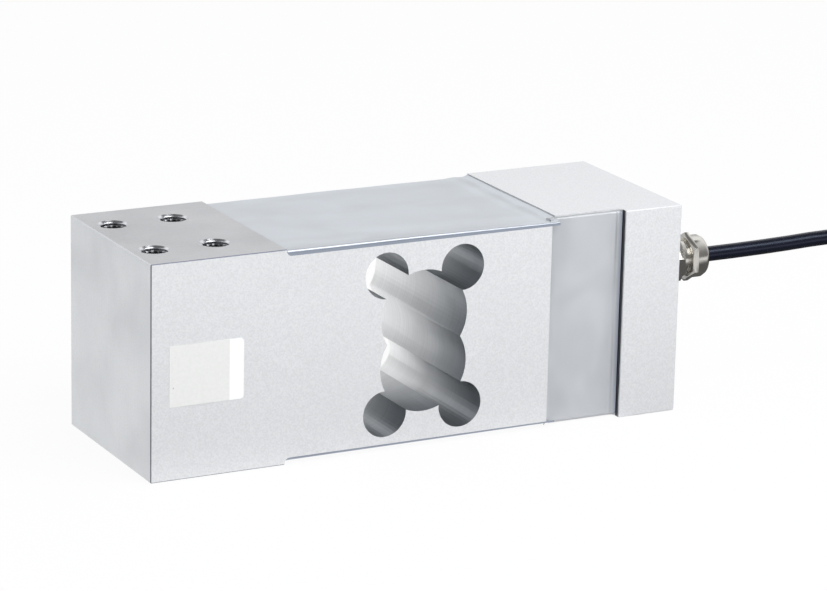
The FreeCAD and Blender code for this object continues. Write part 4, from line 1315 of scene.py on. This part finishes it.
@dataclass
class PocketSeal:
    """Sealing down the wiring pocket: compound under a foil that climbs the near wall."""

    face_mm: float = -31.8
    foil_mm: float = 0.18
    side_gap_mm: float = 0.12
    end_gap_mm: float = 0.05
    back_gap_mm: float = 0.05
    press_and_shade_share: float = 0.2
    climb_mm: float = 2.7
    climb_reach_mm: float = 3.2
    far_climb: Swell = Swell(0.7, 0.0, 0.9)
    far_fold: Swell = Swell(0.25, 2.6, 0.7)
    fold_share: float = 0.6
    fold_swing: Ripple = Ripple(0.4, 0.11)
    bulge: Ripple = Ripple(0.06, 0.02, 0.35)
    bulge_swing: Ripple = Ripple(1.0, 0.045, start=0.5)
    creases: Ripple = Ripple(0.012, across=1.3, sway=0.8, sway_along=0.06)
    roll_mm: float = 1.3
    roll_share: float = 0.8
    columns: int = 70
    rows: int = 110
    low: Vector = field(init=False)
    high: Vector = field(init=False)

    def build(self) -> None:
        """Make the compound and the foil and put them in the pad's place."""
        self.low, self.high = box_mm("side_sealing_pad")
        foil = object_of("side_sealing_foil", sheet_of(self.face, self.foil_mm))
        shade_by_angle(foil, ROLLED_ANGLE)
        # the side foil's ends carry a wide band of painted shade
        finish = SealingFoil((self.low.x, self.high.x), colour=(0.55, 0.565, 0.59), roughness=0.36,
                             metallic=0.25, cloudiness=0.15, shade_border_mm=1.4)
        dress(foil, [finish.material()])
        install(foil, "foil_sealing", "side_sealing_pad")
        shape = merged_copy("side_sealing_pad")
        lid = self.face_mm + 3.0 * self.foil_mm
        cut_off(shape, Vector((0, lid, 0)), Vector((0, -1, 0)))
        compound = object_of("side_sealing_compound", shape)
        shade_by_angle(compound)
        dress(compound, [POCKET_COMPOUND.material()])
        install(compound, "foil_sealing")

    def surface(self, row: int, column: int, inset: float) -> Vector:
        """Give one point of the foil.

        Args:
            row: The point's row, from the bottom up.
            column: Its column, from the near wall to the far one.
            inset: How far inside the foil's outer face it lies, in millimetres.

        Returns:
            The point in millimetres.
        """
        width = self.high.x - self.low.x - 2 * self.side_gap_mm
        tall = self.high.z - self.low.z - 2 * self.end_gap_mm
        x = self.low.x + self.side_gap_mm + width * denser_at_ends(column / self.columns)
        z = self.low.z + self.end_gap_mm + tall * denser_at_ends(row / self.rows)
        near, far = x - self.low.x, self.high.x - x
        climb = self.climb_mm * quarter_round(near, self.climb_reach_mm) + self.far_climb.at(far)
        ripple = self.bulge.at(z, x) * self.bulge_swing.at(z, x) + self.creases.at(z, x)
        ripple += self.far_fold.at(far) * (self.fold_share + self.fold_swing.at(z, x))
        rolled = self.roll(self.high.z - z) + self.roll(z - self.low.z)
        deepest = self.high.y - self.back_gap_mm + inset * self.press_and_shade_share
        return Vector((x, min(self.face_mm - climb - ripple + rolled + inset, deepest), z))

    def roll(self, from_edge: float) -> float:
        """Give how far the foil has rolled in at a distance from its upper or lower edge."""
        return self.roll_mm * self.roll_share * quarter_round(from_edge, self.roll_mm)

    def face(self, inset: float) -> list[list[Vector]]:
        """Give the foil's rows of points at one depth, in millimetres."""
        return [[self.surface(row, column, inset) for column in range(self.columns + 1)]
                for row in range(self.rows + 1)]


# --------------------------------------------------------------------------------- label
@dataclass
class Label:
    """The bare label on the front face, its corners at the strip's end well rounded."""

    strip_corner_mm: float = 1.3
    field_corner_mm: float = 0.3
    steps: int = 6

    def outline(self, low: Vector, high: Vector) -> list[Span]:
        """Give the label's outline.

        Args:
            low: Its lowest corner in millimetres.
            high: Its highest corner in millimetres.

        Returns:
            Each point's place along the block and its height, in millimetres.
        """
        points = []
        for x, z, start, radius in ((high.x, low.z, -90, self.strip_corner_mm),
                                    (high.x, high.z, 0, self.strip_corner_mm),
                                    (low.x, high.z, 90, self.field_corner_mm),
                                    (low.x, low.z, 180, self.field_corner_mm)):
            centre_x = x - math.copysign(radius, x - (low.x + high.x) / 2)
            centre_z = z - math.copysign(radius, z - (low.z + high.z) / 2)
            for step in range(self.steps + 1):
                angle = math.radians(start + 90 * step / self.steps)
                points.append((centre_x + radius * math.cos(angle),
                               centre_z + radius * math.sin(angle)))
        return points

    def build(self) -> None:
        """Make the label in its node's place."""
        low, high = box_mm("blank_label")
        shape = bmesh.new()
        corners = [shape.verts.new(point_mm(x, high.y, z)) for x, z in self.outline(low, high)]
        face = shape.faces.new(corners)
        raised = bmesh.ops.extrude_face_region(shape, geom=[face])["geom"]
        front = [part for part in raised if isinstance(part, bmesh.types.BMVert)]
        bmesh.ops.translate(shape, vec=point_mm(0, low.y - high.y, 0), verts=front)
        label = object_of("bare_label", shape)
        shade_by_angle(label)
        dress(label, [LabelFilm().material()])
        install(label, "label_film", "blank_label")


# --------------------------------------------------------------------------------- gland
@dataclass
class Gland:
    """The cable gland: plated body and cap nut, with sealing ring, seal and cage."""

    edge_mm: float = 0.1
    sharp_angle: float = 28.0
    hexagon_turn: float = 30.0
    neck_thread: Thread = Thread("neck_thread", crest_mm=6.0, root_mm=5.5, pitch_mm=1.0,
                                 length_mm=6.0)
    neck_mm: tuple[float, float, float] = (111.4, -19.8, 52.0)

    def build(self) -> None:
        """Make the gland's pieces in their nodes' places."""
        plated = PlatedBrass().material()
        rubber = GLAND_RUBBER.material()
        polyamide = CAGE_POLYAMIDE.material()
        axis = point_mm(*self.neck_mm)
        turn = Matrix.Rotation(math.radians(self.hexagon_turn), 3, "X")
        for node, finish, slot in (("gland_body", plated, "nickel_plate"),
                                   ("gland_cap_nut", plated, "nickel_plate"),
                                   ("gland_sealing_ring", rubber, "black_rubber"),
                                   ("gland_rubber_seal", rubber, "black_rubber"),
                                   ("gland_clamping_cage", polyamide, "natural_polyamide")):
            shape = merged_copy(node)
            if finish is plated:
                bmesh.ops.rotate(shape, cent=axis, matrix=turn, verts=shape.verts)
            piece = object_of("finished_" + node, shape, tidy=False)
            if finish is plated:
                soften_edges(piece, self.edge_mm, self.sharp_angle)
            if node == "gland_body":
                places = [(Vector(self.neck_mm), (0.0, math.pi / 2, 0.0))]
                carve(piece, self.neck_thread.cutters(places, plated))
            shade_by_angle(piece, self.sharp_angle)
            dress(piece, [finish])
            install(piece, slot, node)


# --------------------------------------------------------------------------------- cable
def smooth_curve(name: str, points: Sequence[Vector], diameter_mm: float) -> bpy.types.Object:
    """Make a round cord along one smooth open curve.

    Args:
        name: The curve's name.
        points: Its control points in millimetres.
        diameter_mm: The cord's diameter.

    Returns:
        The curve object.
    """
    curve = bpy.data.curves.new(name, "CURVE")
    curve.dimensions = "3D"
    curve.resolution_u = 4
    curve.bevel_depth = diameter_mm * MM / 2
    curve.bevel_resolution = 5
    curve.use_fill_caps = True
    spline = curve.splines.new("NURBS")
    spline.points.add(len(points) - 1)
    for control, point in zip(spline.points, points):
        control.co = (*(point * MM), 1.0)
    spline.order_u = 3
    spline.use_endpoint_u = True
    return new_object(name, curve)


def rounded_wire(name: str, node: str, crease_angle: float = 70.0,
                 join_angle: float = 0.05) -> bpy.types.Object:
    """Make a construction node's mitred wires round, with flowing bends and square-cut ends.

    Args:
        name: The piece's name.
        node: The construction node.
        crease_angle: The angle between two faces from which their edge stays square.
        join_angle: The angle, in radians, up to which two triangles are joined to one face.

    Returns:
        The finished piece.
    """
    shape = merged_copy(node)
    bmesh.ops.join_triangles(shape, faces=shape.faces, angle_face_threshold=join_angle,
                             angle_shape_threshold=math.pi)
    crease = shape.edges.layers.float.new("crease_edge")
    for edge in shape.edges:
        if edge.calc_face_angle(0.0) > math.radians(crease_angle):
            edge[crease] = 1.0
    wire = object_of(name, shape, tidy=False)
    smooth = wire.modifiers.new("Round", "SUBSURF")
    smooth.levels = smooth.render_levels = 2
    settled(wire)
    shade_by_angle(wire, ROLLED_ANGLE)
    return wire


def eased(share: float) -> float:
    """Ease a share in and out, held at 0 and 1 outside."""
    share = min(max(share, 0.0), 1.0)
    return share * share * (3 - 2 * share)


@dataclass
class Cable:
    """The cable: out of the gland, down to the surface and wound into a tied coil.

    Each layer of the coil is a flat spiral, wound inwards and outwards by turns. The cable
    climbs to the next layer over a part of a turn, and at the end once more, to its own top.
    Bearings round the coil's middle are in degrees from the X axis.
    """

    diameter_mm: float = 5.5
    length_m: float = 3.0
    route_mm: tuple[tuple[float, float, float], ...] = (
        (120.6, -19.8, 52.0),
        (149.0, -19.8, 52.0),
        (184.0, -20.2, 53.8),
        (208.0, -22.3, 46.5),
        (226.0, -25.2, 26.0),
        (245.5, -28.8, 12.2),
        (263.0, -31.7, 2.75),
        (282.0, -32.5, 2.75),
    )
    end_mm: tuple[tuple[float, float, float], ...] = (
        (285.0, -17.9, 29.8),
        (294.0, -18.9, 30.8),
        (303.0, -16.6, 30.9),
        (310.7, -9.2, 30.9),
        (312.53, -3.52, 30.9),
    )
    middle_mm: Span = (284.0, 5.75)
    outer_mm: float = 38.25
    columns: int = 4
    layers: int = 5
    points_a_turn: int = 16
    start_bearing: float = -90.0
    climb_turns: float = 0.15
    last_climb_at: float = 14.92
    last_climb: float = 1.12
    tie_bearing: float = 120.0
    tie_reach: float = 36.0
    tie_hold: float = 1.6
    tie_thickness_mm: float = 1.1
    tie_edge_mm: float = 0.25
    rib_count: int = 15
    rib_pitch_mm: float = 1.15
    rib_mm: tuple[float, float, float] = (0.45, 3.4, 0.5)
    sleeve_edge_mm: float = 0.6

    def build(self) -> None:
        points = [Vector(point) for point in self.route_mm] + self.turns()
        points += [Vector(point) for point in self.end_mm]
        cable = smooth_curve("cable", points, self.diameter_mm)
        dress(cable, [CableJacket().material()])
        install(cable, "cable_jacket", "cable_run", "cable_coil")
        self.bare_end()

    def bare_end(self) -> list[bpy.types.Object]:
        """Make what the cable carries.

        Returns:
            Its tie and the tie's ribs, the sleeve at its end, the leads and their tips.
        """
        tie_plastic = TIE_PLASTIC.material()
        tie = object_of("ribbed_tie", merged_copy("coil_tie"), tidy=False)
        soften_edges(tie, self.tie_edge_mm)
        shade_by_angle(tie)
        dress(tie, [tie_plastic])
        sleeve = object_of("rounded_sleeve", merged_copy("cable_end_sleeve"), tidy=False)
        soften_edges(sleeve, self.sleeve_edge_mm, segments=4)
        shade_by_angle(sleeve, ROLLED_ANGLE)
        dress(sleeve, [SLEEVE_RUBBER.material()])
        pieces = [install(tie, "tie_plastic", "coil_tie"),
                  install(self.tie_ribs(tie_plastic), "tie_plastic"),
                  install(sleeve, "black_rubber", "cable_end_sleeve")]
        for node, finish in LEAD_FINISHES.items():
            lead = rounded_wire("round_" + node, node)
            dress(lead, [finish.material()])
            slot = "tinned_copper" if finish is TINNED_COPPER else node
            pieces.append(install(lead, slot, node))
        return pieces

    def tie_ribs(self, material: bpy.types.Material) -> bpy.types.Object:
        """Grow the fine ribs across the tie's strap, along the top of the coil.

        Args:
            material: The tie's material.

        Returns:
            An object that holds every rib.
        """
        tree = Growth("tie_rib_row")
        count, pitch = tree.size("Count", "Int"), tree.size("Pitch")
        rib, place = tree.size("Rib", "Vector"), tree.size("Place", "Vector")
        turn = tree.size("Turn", "Rotation")
        step = tree.add("ShaderNodeCombineXYZ", {"X": pitch})
        row = tree.add("GeometryNodeMeshLine", {"Count": count, "Offset": step.outputs[0]})
        cube = tree.add("GeometryNodeMeshCube", {"Size": rib})
        ribs = tree.add("GeometryNodeInstanceOnPoints", {"Points": row.outputs[0],
                                                         "Instance": cube.outputs[0]})
        moved = tree.add("GeometryNodeTransform", {0: ribs.outputs[0], "Translation": place,
                                                   "Rotation": turn})
        tree.end(moved.outputs[0], material)
        angle = math.radians(self.tie_bearing)
        x, y = self.middle_mm
        first = self.outer_mm - (self.columns - 1) * self.diameter_mm
        top = self.layers * self.diameter_mm + self.tie_thickness_mm
        start = point_mm(x + first * math.cos(angle), y + first * math.sin(angle), top)
        return tree.grow("tie_ribs", Count=self.rib_count, Pitch=self.rib_pitch_mm * MM,
                         Rib=point_mm(*self.rib_mm), Turn=(0.0, 0.0, angle), Place=start)

    def turns(self) -> list[Vector]:
        """Wind the coil.

        Returns:
            Its control points in millimetres, evenly spaced round every turn.
        """
        turns = self.layers * (self.columns - 1)
        return [self.wound(number / self.points_a_turn)
                for number in range(1, turns * self.points_a_turn)]

    def wound(self, turn: float) -> Vector:
        """Give the coil's control point at a count of turns from its start.

        Args:
            turn: How many turns are wound.

        Returns:
            The point in millimetres.
        """
        spiral_turns = self.columns - 1
        layer, within = divmod(turn, spiral_turns)
        inward = within if layer % 2 == 0 else spiral_turns - within
        radius = self.outer_mm - self.diameter_mm * inward
        climbs = [(number * spiral_turns, 1.0) for number in range(1, self.layers)]
        climbs.append((self.last_climb_at, self.last_climb))
        rise = sum(height * eased((turn - place) / (2 * self.climb_turns) + 0.5)
                   for place, height in climbs)
        height = self.diameter_mm * (0.5 + rise)
        bearing = self.start_bearing + 360.0 * turn
        from_tie = abs((bearing - self.tie_bearing + 180.0) % 360.0 - 180.0)
        held = eased(self.tie_hold - from_tie / self.tie_reach)
        over_tie = max(held * (1 - height / (self.layers * self.diameter_mm)), 0.0)
        reach = radius / math.cos(math.pi / self.points_a_turn)
        x, y = self.middle_mm
        return Vector((x + reach * math.cos(math.radians(bearing)),
                       y + reach * math.sin(math.radians(bearing)),
                       height + self.tie_thickness_mm * over_tie))


# ------------------------------------------------------------------------- hidden wiring
class Wiring:
    """What the sealing hides: construction nodes with finishes of their own."""

    def build(self) -> None:
        """Give every small node its material."""
        materials: dict[str, bpy.types.Material] = {}
        for part in frame["record"]["subparts"]:
            node = frame["nodes"][part["node"]]
            slot = part["material_slot"]
            if node.hide_render or slot not in HIDDEN_FINISHES:
                continue
            if slot not in materials:
                materials[slot] = HIDDEN_FINISHES[slot].material()
            for material_slot in node.material_slots:
                material_slot.material = materials[slot]
            log.info("node %s is finished as %s", node.name, slot)


# -------------------------------------------------------------------------------- studio
@dataclass(frozen=True)
class Softbox:
    """A soft lamp: where it stands, how wide and tall it is, and how bright."""

    name: str
    place_mm: tuple[float, float, float]
    size_m: Span
    watts: float

    def build(self, target: Vector) -> None:
        """Make the lamp.

        Args:
            target: The point that it faces, in metres.
        """
        lamp = bpy.data.lights.new(self.name, "AREA")
        lamp.shape = "RECTANGLE"
        lamp.size, lamp.size_y = self.size_m
        lamp.energy = self.watts
        item = new_object(self.name, lamp)
        item.location = point_mm(*self.place_mm)
        item.rotation_euler = (item.location - target).to_track_quat("Z", "Y").to_euler()


@dataclass
class Studio:
    """A white floor in an even room, under plain soft light.

    What metal mirrors has levels of its own, from 0 for dark to 1 for white. On the floor it
    is light paper in front, a dark zone round the object that is a painted shadow, and white
    behind it. The zone's far edge runs at a slant past the gland, and the room is darker in
    front than behind, with a light band high up, given as levels at heights from 0 at the
    horizon to 1 overhead.
    """

    floor_m: float = 14.0
    floor_sunk_m: float = 0.0002
    floor_colour: Colour = (0.86, 0.86, 0.86)
    floor_roughness: float = 0.9
    floor_white: float = 0.93
    paper: float = 0.85
    paper_ends_m: Span = (-0.17, -0.1)
    zone: float = 0.12
    zone_slant_x_m: Span = (0.08, 0.12)
    zone_slant_y_m: Span = (-0.03, 0.14)
    zone_blur_m: float = 0.03
    room: float = 0.7
    room_tint: Colour = (0.96, 0.98, 1.0)
    room_front: float = 0.3
    room_turn: Span = (-0.45, 0.25)
    band: tuple[Span, ...] = ((0.0, 0.6), (0.2, 0.68), (0.3, 0.76), (0.46, 1.0), (0.62, 1.0),
                              (0.76, 0.18))
    band_peak: float = 1.05
    lamps: tuple[Softbox, ...] = (
        Softbox("key_softbox", (150.0, -800.0, 1000.0), (0.9, 0.9), 7.9),
        Softbox("top_softbox", (150.0, 100.0, 1300.0), (0.9, 0.9), 0.6),
        Softbox("strip_softbox", (555.0, -455.0, 755.0), (0.22, 0.55), 1.25),
    )
    lamps_face_mm: tuple[float, float, float] = (0.0, 0.0, 38.0)

    def build(self) -> None:
        """Make the floor, the surroundings and the lamps."""
        self.make_floor()
        self.make_world()
        for lamp in self.lamps:
            lamp.build(point_mm(*self.lamps_face_mm))

    def make_floor(self) -> None:
        """Make the pale floor, which shows white and keeps the object's soft shadow."""
        half = self.floor_m / 2
        shape = bmesh.new()
        shape.faces.new([shape.verts.new((x, y, -self.floor_sunk_m)) for x, y in
                         ((-half, -half), (half, -half), (half, half), (-half, half))])
        floor = object_of("floor", shape, tidy=False)
        s = Shader("floor_paper")
        s.set(Base_Color=self.floor_colour, Roughness=self.floor_roughness)
        ray = s.add("ShaderNodeLightPath").outputs
        seen = s.math("MAXIMUM", ray["Is Camera Ray"], ray["Is Transmission Ray"])
        white = s.add("ShaderNodeEmission", {"Color": WHITE, "Strength": 1.0})
        shown = s.add("ShaderNodeMixShader", {0: s.math("MULTIPLY", seen, self.floor_white),
                                              1: s.surface.outputs[0], 2: white.outputs[0]})
        # what metal mirrors off the floor: painted levels, with a painted shadow in the dark zone
        # round the object
        depth = s.along(1)
        front = s.ramp(depth, *self.paper_ends_m, self.paper, self.zone)
        edge = s.ramp(s.along(0), *self.zone_slant_x_m, *self.zone_slant_y_m)
        back = s.ramp(s.math("SUBTRACT", depth, edge), -self.zone_blur_m, 0.0, self.zone, 1.0)
        mirrored = s.add("ShaderNodeEmission", {"Color": WHITE,
                                                "Strength": s.math("MAXIMUM", front, back)})
        mix = s.add("ShaderNodeMixShader", {0: ray["Is Glossy Ray"], 1: shown.outputs[0],
                                            2: mirrored.outputs[0]})
        s.feed(s.tree.nodes["Material Output"].inputs["Surface"], mix.outputs[0])
        dress(floor, [s.material])

    def make_world(self) -> None:
        """Light the room evenly; it shows white, and metal mirrors its own levels."""
        world = bpy.data.worlds.new("studio")
        world.use_nodes = True
        world.node_tree.nodes.clear()
        tree = NodeTree(world.node_tree)
        ray = tree.add("ShaderNodeLightPath").outputs
        heading = tree.add("ShaderNodeTexCoord").outputs["Generated"]
        parts = tree.add("ShaderNodeSeparateXYZ", {0: heading}).outputs
        front, back = self.room_turn
        level = tree.add("ShaderNodeMapRange", {
            "Value": parts["Y"], "From Min": front, "From Max": back, "To Min": self.room_front,
            "To Max": 1.0}, interpolation_type="SMOOTHSTEP")
        band = tree.add("ShaderNodeValToRGB", {0: parts["Z"]})
        stops = band.color_ramp.elements
        band.color_ramp.interpolation = "EASE"
        for _ in self.band[2:]:
            stops.new(0.5)
        for stop, (height, bright) in zip(stops, self.band):
            stop.position = height
            stop.color = (bright, bright, bright, 1.0)
        peak = tree.add("ShaderNodeMath", {0: level.outputs[0], 1: self.band_peak},
                        operation="MULTIPLY")
        strength = tree.add("ShaderNodeMath", {0: peak.outputs[0], 1: band.outputs[0]},
                            operation="MULTIPLY")
        room, mirrored, white = (
            tree.add("ShaderNodeBackground", {"Color": colour, "Strength": value}).outputs[0]
            for colour, value in (((*self.room_tint, 1.0), self.room),
                                  (WHITE, strength.outputs[0]), (WHITE, 1.0)))
        lit = tree.add("ShaderNodeMixShader", {0: ray["Is Glossy Ray"], 1: room, 2: mirrored})
        seen = tree.add("ShaderNodeMath", {0: ray["Is Camera Ray"],
                                           1: ray["Is Transmission Ray"]}, operation="MAXIMUM")
        shown = tree.add("ShaderNodeMixShader", {0: seen.outputs[0], 1: lit.outputs[0], 2: white})
        tree.add("ShaderNodeOutputWorld", {"Surface": shown.outputs[0]})
        bpy.context.scene.world = world


@dataclass
class Camera:
    """The camera: a long lens to the left of the front face and a little above it."""

    place_mm: tuple[float, float, float] = (-565.58, -1109.57, 400.68)
    azimuth: float = -27.577
    elevation: float = 15.932
    roll: float = 1.254
    lens_mm: float = 160.39
    sensor_mm: float = 36.0
    clip_m: Span = (0.05, 50.0)

    def build(self) -> None:
        """Make the scene's camera."""
        data = bpy.data.cameras.new("camera")
        data.lens = self.lens_mm
        data.sensor_width = self.sensor_mm
        data.clip_start, data.clip_end = self.clip_m
        camera = new_object("camera", data)
        turn = (Matrix.Rotation(math.radians(self.azimuth), 4, "Z")
                @ Matrix.Rotation(math.radians(90 - self.elevation), 4, "X")
                @ Matrix.Rotation(math.radians(self.roll), 4, "Z"))
        camera.matrix_world = Matrix.Translation(point_mm(*self.place_mm)) @ turn
        bpy.context.scene.camera = camera


def main() -> None:
    """Build the camera and the cable, then every other sub-assembly and the studio."""
    logging.basicConfig(level=logging.INFO, format="%(name)s: %(message)s")
    remove_startup_objects()
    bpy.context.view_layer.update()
    bpy.context.scene.view_settings.view_transform = "Standard"
    parts: list[object] = [
        Camera(), Cable(), SpringBody(), RecessSeal(Outlook.UP),
        RecessSeal(Outlook.DOWN, crown_mm=1.0, rim_mm=(0.95, 0.8, 0.6)), PocketSeal(),
        Label(), Gland(), Wiring(), Studio(),
    ]
    for part in parts:
        log.info("building %s", type(part).__name__)
        part.build()


if __name__ == "__main__":
    main()
